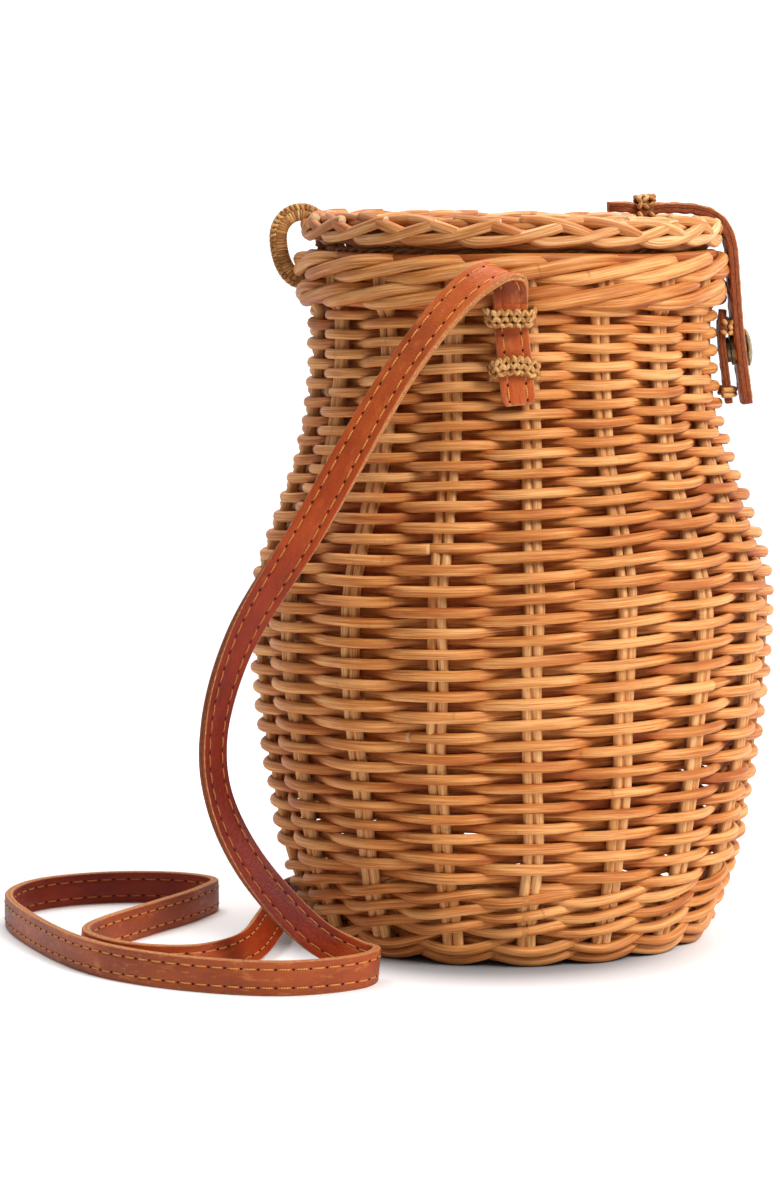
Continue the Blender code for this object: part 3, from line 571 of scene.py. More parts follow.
def make_stakes(material):
    """Seventeen pairs of upright rods. They flare a little into the rim."""
    rods = Rods(21)
    random = np.random.default_rng(8)
    straight, flared = np.arange(STAKE_BOTTOM, FLARE_START, 0.0024), np.arange(FLARE_START, STAKE_TOP, 0.0012)
    z = np.concatenate((straight, flared))
    out = STAKE_PUSH - STAKE_INSET + FLARE * np.clip((z - FLARE_START) / 0.005, 0, 1)
    for i in range(STAKE_COUNT):
        middle = FIRST_STAKE + i * STAKE_STEP
        sway = wander(z, 100 + i, 0.11, 0.0007)
        for side in (-1, 1):
            radius = wall_radius(z) + out + wander(z, 200 + 2 * i + side, 0.05, 0.00012)
            apart = side * (STAKE_APART + wander(z, 300 + i, 0.07, 0.00014))
            angle = middle + (apart + sway) / radius
            tone = random.uniform(0.5, 0.9) + wander(z, 400 + 2 * i + side, 0.06, 0.1)
            rods.add_round(angle, radius, z, STAKE_RADIUS, tone)
    nodes = [f"stake_pair_{i + 1:02d}" for i in range(STAKE_COUNT)]
    settle(rods.build("stakes", material), "basket", "stake_reed", *nodes)


# ---------------- foot and rim

FOOT_ROD = 0.00172
FOOT_TIERS = ((FOOT_ROD, 0.0), (FOOT_ROD + 0.0034, 0.0024))  # height, and how far out
FOOT_ROUNDS = ((0.058, 0.0036), (0.0585, 0.0071), (0.0612, 0.0083))  # radius and height
RIM_ROD = 0.00216
# Along a stroke of the rim, over three stakes: distance in from the outer face, and share of the way up.
STROKE_KEYS = (0.0, 0.45, 0.8, 1.5, 2.2, 2.55, 3.0)
STROKE_INSETS = (0.0066, 0.0034, 0.0004, 0.0, 0.0003, 0.0036, 0.0066)
STROKE_RISES = (0.5, 0.02, 0.0, 0.5, 1.0, 0.98, 0.5)


def make_foot(material):
    """The stakes' ends turned along the foot in scallops, two deep, over a plain inner ring."""
    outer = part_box("foot_border")[1].x - FOOT_ROD
    rods = Rods(31)
    random = np.random.default_rng(31)
    share = np.linspace(-0.86, 0.96, 25)
    # Along each scallop: height above its lowest place, and distance in from the foot's outer face.
    rise = ((-0.86, -0.5, -0.15, 0.15, 0.5, 0.96), (0.0026, 0.0021, 0.0003, 0.0, 0.0024, 0.0058))
    inset = ((-0.86, -0.5, -0.2, 0.5, 0.96), (0.0062, 0.003, 0.0002, 0.0004, 0.0058))
    rise, inset = (np.convolve(np.pad(np.interp(share, *v), 2, mode="edge"), np.ones(5) / 5, "valid")
                   for v in (rise, inset))
    for height, out in FOOT_TIERS:
        for i in range(STAKE_COUNT):
            angle = FIRST_STAKE + (i + share + random.uniform(-0.04, 0.04)) * STAKE_STEP
            z = height + rise * random.uniform(0.85, 1.1)
            thick = FOOT_ROD * random.uniform(0.95, 1.05)
            rods.add_round(angle, outer + out - inset, z, thick, random.uniform(0.3, 0.7))
    angle = np.linspace(0, TURN, 150, endpoint=False)
    for radius, z in FOOT_ROUNDS:
        across, up = 0.0003 * np.sin(STAKE_COUNT * angle), 0.0003 * np.cos(STAKE_COUNT * angle)
        rods.add_round(angle, radius + across, z + up, 0.0015, 0.4, closed=True)
    settle(rods.build("foot_scallops", material), "basket", "border_reed", "foot_border")


def add_stroked_band(rods, outer, z_low, z_high, rod, start, seed):
    """A band like a three-rod wale: each stroke comes out low, rises over two stakes, and goes in high.

    One closed rod makes all the strokes, three stakes apart, on its three turns round the basket.
    """
    crossing = np.arange(0, 3 * STAKE_COUNT, 1 / 14)
    stroke = np.mod(crossing, 3.0)
    inset = smooth_interp(stroke, STROKE_KEYS, STROKE_INSETS)
    share = smooth_interp(stroke, STROKE_KEYS, STROKE_RISES)
    number = np.floor(crossing / 3.0).astype(int)
    random = np.random.default_rng(seed)
    tones, offsets = random.uniform(0.25, 0.75, STAKE_COUNT), random.uniform(-0.0004, 0.0004, STAKE_COUNT)
    thick = rod * random.uniform(0.93, 1.07, STAKE_COUNT)
    blend = np.clip(np.minimum(stroke, 3 - stroke) / 0.4, 0, 1)
    angle = FIRST_STAKE + start + crossing * STAKE_STEP
    z = z_low + rod + (z_high - z_low - 2 * rod) * share + offsets[number] * blend
    distance = outer - rod - inset + wander(crossing, seed, 4.0, 0.0002)
    thick = rod * 0.95 + (thick[number] - rod * 0.95) * blend
    tone = tones[number] + wander(crossing, seed + 1, 2.1, 0.1)
    rods.add_round(angle, distance, z, thick, tone, closed=True, flatten=0.96)


def add_kicking_rods(rods, radius, heights):
    """Plain rounds behind a band's strokes, which close the gaps between them."""
    angle = np.linspace(0, TURN, 120, endpoint=False)
    for z in heights:
        distance = radius + 0.0002 * np.sin(STAKE_COUNT * angle)
        # The low tone of 0.12 is painted shade, for rounds that lie in behind the strokes.
        rods.add_round(angle, distance, z + 0.0003 * np.sin(5 * angle + 900 * z), 0.0018, 0.12, closed=True)


def make_rim(material):
    for node, start, seed in (("rim_wale", 0.1, 71), ("rim_border", 0.62 * STAKE_STEP, 77)):
        low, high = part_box(node)
        rods = Rods(seed, sides=12)
        add_stroked_band(rods, high.x, low.z - 0.0008, high.z + 0.0004, RIM_ROD, start, seed)
        add_kicking_rods(rods, high.x - 0.0055, (low.z + 0.0016, high.z - 0.0012))
        settle(rods.build(node + "_strokes", material), "basket", "border_reed", node)


# ---------------- lid and base

HINGE_INNER_LEG_X = -0.0606
SLATH_HALF = 0.013  # of the cross of rods at a disc's middle
FIRST_ROW = 0.0078  # radius at which a disc's weave starts
EYE_HALF_GAP, EYE_REACH = 0.0036, 0.0058  # of the parting in the lid's weave, along X and along Y


def add_woven_disc(rods, height, radius, spokes, rod, eye=None):
    """A round of weave on spokes, with a cross of rods at its middle. The weave parts round the eye."""
    random = np.random.default_rng(spokes)
    for i in range(-2, 3):
        for turned in (0, 1):
            along = np.linspace(-SLATH_HALF, SLATH_HALF, 13)
            across = i * rod * 2.15 + wander(along, 2 + i + 9 * turned, 0.02, 0.0001)
            z = height + rod * (1 if turned else -1) * 0.9
            path = points_at(across, along, z) if turned else points_at(along, across, z)
            rods.add(path, rod * 0.98, (0, 0, 1), random.uniform(0.3, 0.7))
    for i in range(spokes):
        angle = TURN * i / spokes + random.uniform(-0.02, 0.02)
        reach = np.linspace(FIRST_ROW, radius - rod, 22)
        path = around(angle, reach, height + 0.12 * rod * np.sin(reach * 900 + i))
        rods.add(path, rod, (0, 0, 1), random.uniform(0.3, 0.7))
    pitch = 2.06 * rod
    crossings = np.arange(0, (radius - FIRST_ROW - 2 * rod) / pitch * spokes, 0.2)
    reach = FIRST_ROW + crossings / spokes * pitch
    angle = crossings * TURN / spokes
    swing = 1.75 * rod * np.clip(reach / 0.03, 0.7, 1)
    reach = reach + rod + wander(crossings, spokes, 7.0, 0.00012)
    path = around(angle, reach, height + swing * in_and_out(crossings))
    if eye is not None:
        part_round(path, eye)
    tone = 0.52 + wander(crossings, spokes + 1, 90.0, 0.22)
    rods.add(path, rod * 0.98, (0, 0, 1), tone)


def part_round(path, eye):
    """Pushes the rows beside a place away from it, so that the hinge ring passes between them."""
    beside = path[:, :2] - np.array(eye)
    nearness = np.clip(1 - np.abs(beside[:, 1]) / EYE_REACH, 0, 1) ** 0.6
    push = np.clip(EYE_HALF_GAP * nearness - np.abs(beside[:, 0]) * 0.55 * nearness, 0, None)
    path[:, 0] += np.where(beside[:, 0] >= 0, push, -push)


def make_base(material):
    low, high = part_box("base_weave")
    rods = Rods(91, sides=8)
    add_woven_disc(rods, (low.z + high.z) / 2, high.x + 0.001, 25, 0.00098)
    settle(rods.build("base_disc", material), "basket", "woven_reed", "base_weave")


def make_lid(material):
    low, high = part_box("lid_weave")
    rods = Rods(95, sides=8)
    add_woven_disc(rods, (low.z + high.z) / 2, high.x + 0.0012, 27, 0.00104, eye=(HINGE_INNER_LEG_X, 0.0))
    settle(rods.build("lid_disc", material), "lid", "lid_reed", "lid_weave")
    make_lid_border(material)
    make_plug_ring(material)


LID_STROKES = 21
LID_ROD = 0.00182
LID_LEFT_RISE = 0.0016  # of the border over the hinge, above its height at the closure
# Along each stroke, in strokes' spacings: height from the border's middle and distance out from its line.
RISING_STROKE = ((-0.3, 0.0, 0.45, 0.95, 1.3, 1.52), (-0.0006, -0.0026, -0.0025, -0.0008, 0.001, 0.002),
                 (-0.0016, 0.0008, 0.0014, 0.0016, 0.0015, 0.0012))
FALLING_STROKE = ((-0.25, 0.1, 0.55, 0.95, 1.25), (0.0029, 0.0027, 0.0008, -0.0016, -0.0022),
                  (-0.0024, -0.0004, 0.0018, 0.0006, -0.0014))
# Rounds inside the border: distance in from its centre line, height from its middle, and phase of the wave.
LID_ROUNDS = ((0.002, 0.0026, 0.0), (0.0026, 0.0019, 2.1), (0.002, -0.0014, 4.2), (0.0034, -0.0042, 1.0))
PLUG_RADIUS, PLUG_ROD, PLUG_ROUNDS = 0.06, 0.0008, 3
PLUG_GAP = 0.06  # radians on each side of the hinge ring


def make_lid_border(material):
    """Rods turned down along the edge: each rising stroke crosses a falling one, and ends in a blunt cut."""
    low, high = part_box("lid_border")
    middle, centre = (low.z + high.z) / 2, high.x - 0.0035
    rods = Rods(97, sides=12)
    random = np.random.default_rng(17)
    step = TURN / LID_STROKES
    for i in range(LID_STROKES):
        # Painted light: strokes are paler towards +X, the side that the key lamp lights, and darker towards the
        # hinge at -X.
        lit_side_tone = 0.42 + 0.22 * math.cos(i * step)
        for stroke, tone_shift in ((RISING_STROKE, 0.1), (FALLING_STROKE, -0.1)):
            keys, rises, outs = stroke
            share = np.linspace(keys[0], keys[-1] + random.uniform(-0.08, 0.08), 26)
            radius = centre + smooth_interp(share, keys, outs)
            angle = (i + share + random.uniform(-0.07, 0.07)) * step
            z = middle + smooth_interp(share, keys, rises) * 1.12 + random.uniform(-0.0003, 0.0003)
            z = z + LID_LEFT_RISE * (1 - np.cos(angle)) / 2
            tone = lit_side_tone + tone_shift + random.uniform(-0.16, 0.16)
            rods.add_round(angle, radius, z, LID_ROD * random.uniform(0.92, 1.06), tone, flatten=0.92)
    angle = np.linspace(0, TURN, 240, endpoint=False)
    for inward, rise, phase in LID_ROUNDS:
        wave = 14 * angle + phase
        z = middle + rise + 0.0006 * np.sin(wave) + LID_LEFT_RISE * (1 - np.cos(angle)) / 2
        # Painted light, as on the strokes: the rounds are paler towards +X and darker towards -X.
        tone = 0.35 + 0.2 * np.cos(angle)
        rods.add_round(angle, centre - inward + 0.0007 * np.cos(wave), z, LID_ROD * 0.95, tone, closed=True)
    settle(rods.build("lid_plait", material), "lid", "lid_reed", "lid_border")


def make_plug_ring(material):
    """Three twisted rounds that hang below the lid and keep it centred in the mouth."""
    low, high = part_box("lid_plug_ring")
    rods = Rods(99, sides=8)
    angle = np.linspace(math.pi + PLUG_GAP, 3 * math.pi - PLUG_GAP, 420)
    for level in range(PLUG_ROUNDS):
        z = low.z + (high.z - low.z) * (level + 0.5) / PLUG_ROUNDS
        for strand in (0, math.pi):
            twist = angle * 34 + strand + level
            height = z + PLUG_ROD * 1.02 * np.sin(twist)
            rods.add_round(angle, PLUG_RADIUS + PLUG_ROD * np.cos(twist), height, PLUG_ROD, 0.45 + 0.1 * level)
    settle(rods.build("plug_rounds", material), "lid", "lid_reed", "lid_plug_ring")


# ---------------- where the strap's ends lie

STRAP_WIDTH = 0.0108
STRAP_THICKNESS = 0.003
STRAP_TO_WALL = 0.0006
STRAP_END_TOP = 0.213
STRAP_END_BOTTOM = 0.181
STRAP_STEP = (0.2056, 0.2112)  # heights between which the end steps out over the rim
STRAP_OVER_RIM = 0.0743


def strap_end_distance(z):
    """From the axis to the middle of a strap's fixed end."""
    share = np.clip((z - STRAP_STEP[0]) / (STRAP_STEP[1] - STRAP_STEP[0]), 0, 1)
    on_wall = wall_radius(z) + STRAP_TO_WALL + STRAP_THICKNESS / 2
    return on_wall + (STRAP_OVER_RIM - on_wall) * share**2 * (3 - 2 * share)


# ---------------- cane ties


def add_knot(rods, middle, along, outward, half_length, radius, tone):
    """One turn of cane: a short fat rod with soft ends, bowed outward."""
    share = np.linspace(-1, 1, 7)
    path = middle + np.outer(share * half_length, along) - np.outer(0.35 * radius * share**2, outward)
    thick = radius * np.sqrt(np.clip(1 - 0.72 * share**4, 0.1, 1))
    rods.add(path, thick, outward, tone, cut=0.0)


RING_MIDDLE = (-0.0697, 0.2325)
RING_HALF_WIDTH = 0.0084
RING_ABOVE, RING_BELOW = 0.0089, 0.015


def hinge_ring_curve():
    """The egg-shaped ring's centre line, from its inner side over its top, and the distance to each point."""
    turn = np.linspace(0, TURN, 361)
    reach = np.where(np.sin(turn) > 0, RING_ABOVE, RING_BELOW)
    x, z = RING_MIDDLE[0] + RING_HALF_WIDTH * np.cos(turn), RING_MIDDLE[1] + reach * np.sin(turn)
    points = points_at(x, 0, z)
    return points, distance_along(points)


RING_POINTS, RING_DISTANCES = hinge_ring_curve()


def hinge_ring_at(distance, out):
    """Place, outward and forward directions on the ring, a distance along it."""
    length = RING_DISTANCES[-1]
    near = [[np.interp(d % length, RING_DISTANCES, RING_POINTS[:, k]) for k in range(3)]
            for d in (distance - 0.0002, distance, distance + 0.0002)]
    before, place, after = np.array(near)
    ahead = unit(after - before)
    outward = np.array([ahead[2], 0.0, -ahead[0]])
    return place + outward * out, outward, ahead


HINGE_KNOT_PITCH = 0.0015
HINGE_WRAP_PITCH = 0.00105


def make_hinge_ring(material):
    """A cane core bound round smoothly, and a chain of knots worked along its outer side."""
    rods = Rods(111, sides=10)
    for out, radius, tone in ((-0.0009, 0.00135, 0.25), (-0.0021, 0.00065, 0.15)):
        places = [hinge_ring_at(d, out) for d in np.linspace(0, RING_DISTANCES[-1], 90, endpoint=False)]
        path, outward = (np.array([place[k] for place in places]) for k in (0, 1))
        rods.add(path, radius, outward, tone, closed=True)
    random = np.random.default_rng(4)
    end = 0.74 * RING_DISTANCES[-1]
    for distance in np.arange(-0.003, end, HINGE_WRAP_PITCH):
        place, outward, ahead = hinge_ring_at(distance, -0.0012)
        turn = np.linspace(0, TURN, 18, endpoint=False)
        loop = place + 0.00195 * np.outer(np.cos(turn), outward) + 0.0016 * np.outer(np.sin(turn), (0, 1, 0))
        loop = loop + np.outer(0.00016 * np.sin(turn), ahead)
        rods.add(loop, 0.00056, ahead, random.uniform(0.25, 0.7), closed=True)
    for distance in np.arange(-0.003, end, HINGE_KNOT_PITCH):
        for side in (-1, 1):
            place, outward, ahead = hinge_ring_at(distance + 0.0003 * side, 0.0013)
            middle = place + np.array([0.0, side * 0.00085, 0.0])
            across = unit(np.array([0.0, 1.0, 0.0]) - 0.5 * side * outward + side * 0.35 * ahead)
            add_knot(rods, middle, across, outward, 0.0013, 0.00072, random.uniform(0.1, 0.7))
            flank = place + np.array([0.0, side * 0.0015, 0.0]) - outward * 0.0004
            lean = unit(outward + 0.45 * ahead)
            add_knot(rods, flank, lean, np.array([0.0, side, 0.0]), 0.00125, 0.00068, random.uniform(0.1, 0.7))
    settle(rods.build("hinge_ring_knots", material), "basket", "cane", "hinge_ring_core", "hinge_ring_wrap")


def add_knotted_band(rods, place, columns, seed):
    """Three rows of knots over a strap. place(across, up, out) gives a point; across and up go from -1 to 1."""
    random = np.random.default_rng(seed)
    edge = np.linspace(-1.0, 1.0, 33)
    outward = unit(np.array([place(e, 0, 0.001) - place(e, 0, 0) for e in edge]))
    half_height = np.linalg.norm(place(0, 1, 0) - place(0, -1, 0)) / 2
    # A flat core under the knots, in the darkest tone: painted shade in the gaps between knots.
    core = np.array([place(e, 0, -0.0003) for e in edge])
    rods.add(core, 0.8 * half_height * (1 - 0.25 * np.abs(edge) ** 3), outward, -0.6,
             flatten=0.00075 / half_height, cut=0.0)
    for row, up in enumerate((-0.72, -0.06, 0.62)):
        for column in range(columns):
            across = ((column + 0.5 + (0.25 if row == 1 else -0.25)) / columns * 2 - 1) * 0.94
            narrow = 1 - 0.22 * abs(across) ** 3
            ahead = unit(place(across + 0.04, up, 0) - place(across - 0.04, up, 0))
            upward = unit(place(across, 1, 0) - place(across, -1, 0))
            out = unit(place(across, up, 0.001) - place(across, up, 0))
            for half in (-1, 1):
                middle = place(across + half * 0.52 / columns, up * narrow, 0.0007 + 0.0002 * row)
                lean = 1.8 if row == 0 else random.uniform(0.75, 0.95)
                direction = unit(upward + half * lean * ahead)
                half_length = 0.4 * half_height * narrow
                add_knot(rods, middle, direction, out, half_length, 0.00078, random.uniform(0.2, 0.9))


def keeper_place(centre, across, up, outward, half_flat, half_height, corner, drop, sag=0.0):
    """A cane band's surface over a strap: flat in its middle, and rounded down at both ends."""
    centre, across, up, outward = (np.array(v, float) for v in (centre, across, up, outward))
    flat_share = half_flat / (half_flat + 0.5 * (corner + drop) * 1.1)

    def place(a, u, out):
        size = min(abs(a), 1.15)
        side = math.copysign(1.0, a)
        tilt = max(0.0, (size - flat_share) / (1 - flat_share)) * math.pi / 2
        reach = half_flat * min(1.0, size / flat_share) + corner * math.sin(tilt)
        fall = drop * (1 - math.cos(tilt))
        normal = outward * math.cos(tilt) + across * side * math.sin(tilt)
        lift = half_height * u - sag * size**2.2
        return centre + across * side * reach + up * lift - outward * fall + normal * out

    return place


KEEPER_HALF_HEIGHT = 0.0031
KEEPER_TO_STRAP = 0.0007
KEEPER_REACH = 0.002  # how far a keeper's ends go into the weave


def make_keeper(node, piece, body, material, place, columns, seed, rods_seed):
    rods = Rods(rods_seed, sides=8)
    add_knotted_band(rods, place, columns, seed)
    settle(rods.build(piece, material), body, "cane", node)


def make_strap_keepers(material):
    """Two on each fixed end of the shoulder strap. The upper one leans where the end steps out."""
    for side, sign in (("front", -1), ("back", 1)):
        for level, seed, raised, share in (("upper", 1, 0.001, 0.75), ("lower", 2, 0.0, 0.5)):
            node = f"{side}_keeper_{level}"
            low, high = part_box(node)
            z = (low.z + high.z) / 2 + raised
            half = KEEPER_HALF_HEIGHT
            under, over = strap_end_distance(z - half), strap_end_distance(z + half)
            face = under + share * (over - under) + STRAP_THICKNESS / 2 + KEEPER_TO_STRAP
            middle = ((low.x + high.x) / 2, sign * face, z)
            lean = unit(np.array((0, sign * (over - under) / 2, 2 * half)))
            out = np.cross((1, 0, 0), lean) * -sign
            drop = face - wall_radius(z) + KEEPER_REACH
            place = keeper_place(middle, (-sign, 0, 0), lean, out, 0.0047, half, 0.0022, drop, 0.0016 * seed)
            make_keeper(node, node + "_knots", "basket", material, place, 8, seed, 120 + seed)


def make_closure_keepers(material):
    """The tab's band and the loop at its end, and the band that holds the closure strap to the lid."""
    low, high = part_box("tab_keeper_upper")
    middle = (high.x, 0, (low.z + high.z) / 2)
    place = keeper_place(middle, (0, 1, 0), (0, 0, 1), (1, 0, 0), 0.006, 0.003, 0.0022, 0.0034)
    make_keeper("tab_keeper_upper", "tab_knots", "basket", material, place, 7, 5, 131)
    low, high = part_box("tab_keeper_lower")
    rods = Rods(133, sides=8)
    share = np.linspace(-1, 1, 25)
    reach = high.x - 0.0004 - (high.x - low.x) * np.abs(share) ** 3
    for shift in (-0.0008, 0.0008):
        rods.add(points_at(reach, share * 0.0082, (low.z + high.z) / 2 + shift), 0.00095, (0, 0, 1), 0.5)
    settle(rods.build("tab_loop", material), "basket", "cane", "tab_keeper_lower")
    low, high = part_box("lid_keeper")
    middle = ((low.x + high.x) / 2, 0, high.z)
    place = keeper_place(middle, (0, 1, 0), (1, 0, 0), (0, 0, 1), 0.0082, 0.0034, 0.0026, 0.0066)
    make_keeper("lid_keeper", "lid_knots", "lid", material, place, 9, 9, 135)


# ---------------- leather

STITCH_PITCH = 0.0053
STITCH_LENGTH = 0.0036
STITCH_INSET = 0.0025
THREAD_RADIUS, HOLE_RADIUS = 0.00027, 0.00046
# Along half a stitch's length either way, and each place's height over the leather.
STITCH_SHARES = np.linspace(-1, 1, 6)
STITCH_DIPS = np.array([-0.00047, -0.00014, -0.00006, -0.00006, -0.00014, -0.00047])


def strap_section(width, thickness):
    """Outline of a two-layer strap: (across, through, edge, lining), with a groove under each row of stitches.

    edge is 1 on the raw edge, towards +across, and 2 on the burnished one. The fourth value is 1 on the back
    face, which the leather paints darker as shade.
    """
    half, face = width / 2, thickness / 2
    row = half - STITCH_INSET
    corner = 0.00035
    across = [-half + corner, -half + 0.001, -row - 0.0006, -row, -row + 0.0006, -row / 2, 0.0]
    across += [-v for v in reversed(across[:-1])]
    top = []
    for a in across:
        dip = 0.00022 if abs(abs(a) - row) < 1e-6 else 0.0
        crown = 0.00012 * (1 - (a / half) ** 2)
        top.append((a, face - 0.00012 - dip + crown, 0.0, 0.0))
    edge = ((half, face - 0.00045), (half + 0.00004, 0.0002), (half - 0.00022, 0.0), (half + 0.00004, -0.0002),
            (half, -face + 0.00045))
    edge = [(a, t, 1.0, 0.0) for a, t in edge]
    bottom = [(a, -t, r, 1.0) for a, t, r, _ in reversed(top)]
    other = [(-a, t, 2.0, painted_shade_face) for a, t, _, painted_shade_face in reversed(edge)]
    return np.array(top + edge + bottom + other)


class Strip:
    """A strap's course: points along its middle, its width's direction at each, its width and thickness."""

    def __init__(self, points, widths, width, thickness):
        along = unit(np.gradient(points, axis=0))
        self.points, self.width, self.thickness = points, width, thickness
        self.side = unit(widths - (widths * along).sum(1, keepdims=True) * along)
        self.face = np.cross(along, self.side)
        self.distance = distance_along(points)

    def at(self, distance):
        """The strap's middle, width and face directions a distance along it, just short of its end at most."""
        distance = min(distance, self.distance[-1] - 0.001)
        return [np.array([np.interp(distance, self.distance, v[:, k]) for k in range(3)])
                for v in (self.points, self.side, self.face)]


def strap_mesh(name, strip, material, grain_start=0.0, round_ends=(False, False), painted_shading=1.0, burnished=False,
               joined=(False, False)):
    """The leather of a strap, with light and shade painted along it as a lightness at each point: darker
    leather is also redder.
    """
    section = strap_section(strip.width, strip.thickness)
    distance = strip.distance
    narrow = np.ones(len(distance))
    for rounded, gap in zip(round_ends, (distance, distance[-1] - distance)):
        if rounded:
            narrow *= np.sqrt(np.clip(1 - (1 - np.clip(gap / (strip.width * 0.3), 0, 1)) ** 2 * 0.45, 0, 1))
    across = section[None, :, 0] * narrow[:, None]
    places = strip.points[:, None] + across[..., None] * strip.side[:, None]
    places = places + section[None, :, 1, None] * strip.face[:, None]
    n, s = places.shape[:2]
    faces = tube_faces(n, s)[:, [0, 3, 2, 1]].tolist()
    faces += [list(range(s)), [(n - 1) * s + k for k in reversed(range(s))]]
    mesh = bpy.data.meshes.new(name)
    mesh.from_pydata(places.reshape(-1, 3).tolist(), [], faces)
    grain = points_at(across, section[None, :, 1], distance[:, None] + grain_start)
    raw = np.tile(section[:, 2], (n, 1))
    if burnished:
        raw[raw > 0] = 2.0
    for end, is_joined in zip((0, -1), joined):
        raw[end] = 0.0 if is_joined else (2.0 if burnished else 1.0)
    shade = np.repeat(np.broadcast_to(np.asarray(painted_shading, float), n), s)
    keep_at_points(mesh, "grain", grain.reshape(-1, 3))
    keep_at_points(mesh, "raw", raw.ravel())
    keep_at_points(mesh, "painted_shade_face", np.tile(section[:, 3], n))
    keep_at_points(mesh, "painted_shading", points_at(shade, shade**2.0, shade**2.5))
    return add_object(name, mesh, material, 35)


def stitch_mesh(name, strip, material, margin=0.004, faces=(1, -1), painted_shading=1.0):
    """Running stitches along both edges, on the faces given, with a hole painted dark as shade at each stitch's
    end.
    """
    painted_shading = np.broadcast_to(np.asarray(painted_shading, float), len(strip.points))
    rods = Rods(len(strip.points), sides=6)
    row, top = strip.width / 2 - STITCH_INSET, strip.thickness / 2
    for start in np.arange(margin, strip.distance[-1] - margin, STITCH_PITCH):
        tone, out = np.interp(start, strip.distance, painted_shading), strip.at(start)[2]
        for sign in faces:
            middle = start + (0 if sign > 0 else STITCH_PITCH / 2)
            hole_place, hole_across, hole_out = strip.at(middle + STITCH_PITCH / 2)
            for edge in (-1, 1):
                path = []
                for part, dip in zip(STITCH_SHARES, STITCH_DIPS):
                    place, side, face = strip.at(middle + part * STITCH_LENGTH / 2)
                    path.append(place + edge * row * side + sign * (top + dip) * face)
                rods.add(path, THREAD_RADIUS, sign * out, tone, cut=0.0)
                hole = hole_place + edge * row * hole_across + sign * (top - 0.00034) * hole_out
                rods.add([hole, hole + sign * 0.0002 * hole_out], HOLE_RADIUS, hole_across, -1.0)
    return rods.build(name, material)


def catmull_rom(route, step):
    """Places and width directions about step apart on a centripetal Catmull-Rom curve through a route."""
    places = np.array([p for p, _ in route], float) * MM
    sides = unit(np.array([w for _, w in route], float))
    places = np.vstack((2 * places[0] - places[1], places, 2 * places[-1] - places[-2]))
    points, widths = [], []
    for i in range(1, len(places) - 2):
        p0, p1, p2, p3 = places[i - 1: i + 3]
        t1 = math.sqrt(np.linalg.norm(p1 - p0))
        t2 = t1 + math.sqrt(np.linalg.norm(p2 - p1))
        t3 = t2 + math.sqrt(np.linalg.norm(p3 - p2))
        for u in np.arange(0, 1, 1 / max(2, round(np.linalg.norm(p2 - p1) / step))):
            t = t1 + (t2 - t1) * u
            a1 = p0 + (p1 - p0) * t / t1
            a2 = p1 + (p2 - p1) * u
            a3 = p2 + (p3 - p2) * (t - t2) / (t3 - t2)
            b1 = a1 + (a2 - a1) * t / t2
            b2 = a2 + (a3 - a2) * (t - t1) / (t3 - t1)
            points.append(b1 + (b2 - b1) * u)
            widths.append(sides[i - 1] * (1 - u) + sides[i] * u)
    return np.array(points + [places[-2]]), unit(np.array(widths + [sides[-1]]))



STRAP_ROUTE_MM = [  # place of the strap's middle, then the direction of its width
    ((-2.5, -74.3, 213.0), (1, 0, 0)),
    ((-2.5, -74.5, 216.0), (1, -0.1, 0)),
    ((-2.8, -76.0, 220.4), (0.95, -0.35, -0.1)),
    ((-6.5, -79.6, 222.9), (0.8, -0.6, -0.35)),
    ((-13.0, -82.4, 220.4), (0.65, -0.6, -0.6)),
    ((-22.0, -84.2, 212.2), (0.58, -0.55, -0.65)),
    ((-37.4, -87.0, 192.0), (0.68, -0.55, -0.45)),
    ((-65.5, -90.5, 144.2), (0.8, -0.1, -0.5)),
    ((-87.4, -91.5, 108.0), (0.72, 0.55, -0.35)),
    ((-95.3, -91.5, 80.0), (0.62, 0.75, -0.1)),
    ((-94.2, -90.5, 60.0), (0.6, 0.75, 0.15)),
    ((-84.4, -89.5, 38.0), (0.6, 0.55, 0.5)),
    ((-64.0, -86.5, 14.6), (0.58, 0.2, 0.75)),
    ((-50.5, -82.5, 6.6), (0.3, 0, 0.95)),
    ((-45.2, -86.0, 5.6), (0.1, 0, 1)),
    ((-49.0, -97.5, 5.5), (0, 0, 1)),
    ((-71.0, -108.8, 5.5), (0, 0, 1)),
    ((-99.0, -103.5, 5.5), (0, 0, 1)),
    ((-131.0, -81.5, 5.5), (0, 0, 1)),
    ((-157.0, -36.0, 5.5), (0, 0, 1)),
    ((-169.5, 8.0, 5.5), (0, 0, 1)),
    ((-161.0, 31.0, 5.5), (0, 0, 1)),
    ((-138.0, 43.5, 5.5), (0, 0, 1)),
    ((-113.0, 42.0, 5.5), (0, 0, 1)),
    ((-101.3, 32.0, 5.5), (0, 0, 1)),
    ((-105.5, 15.0, 5.5), (0, 0, 1)),
    ((-138.5, -50.5, 5.5), (0, 0, 1)),
    ((-135.2, -66.8, 5.5), (0, 0, 1)),
    ((-119.5, -81.8, 5.5), (0, 0, 1)),
    ((-101.0, -83.0, 5.5), (-0.1, 0, 1)),
    ((-87.0, -67.0, 6.0), (-0.5, 0, 0.85)),
    ((-79.5, -33.0, 8.5), (-0.7, 0, 0.7)),
    ((-75.5, 8.0, 9.0), (-0.5, 0, 0.87)),
    ((-62.0, 48.0, 7.5), (-0.2, 0, 1)),
    ((-38.0, 81.5, 17.0), (-0.5, -0.2, 0.85)),
    ((-6.0, 93.5, 112.0), (-1, 0, 0.1)),
    ((0.0, 82.6, 216.5), (-1, 0, 0)),
    ((0.0, 77.4, 221.8), (-1, 0, 0)),
    ((0.0, 74.4, 217.0), (-1, 0, 0)),
    ((0.0, 74.3, 213.0), (-1, 0, 0)),
]


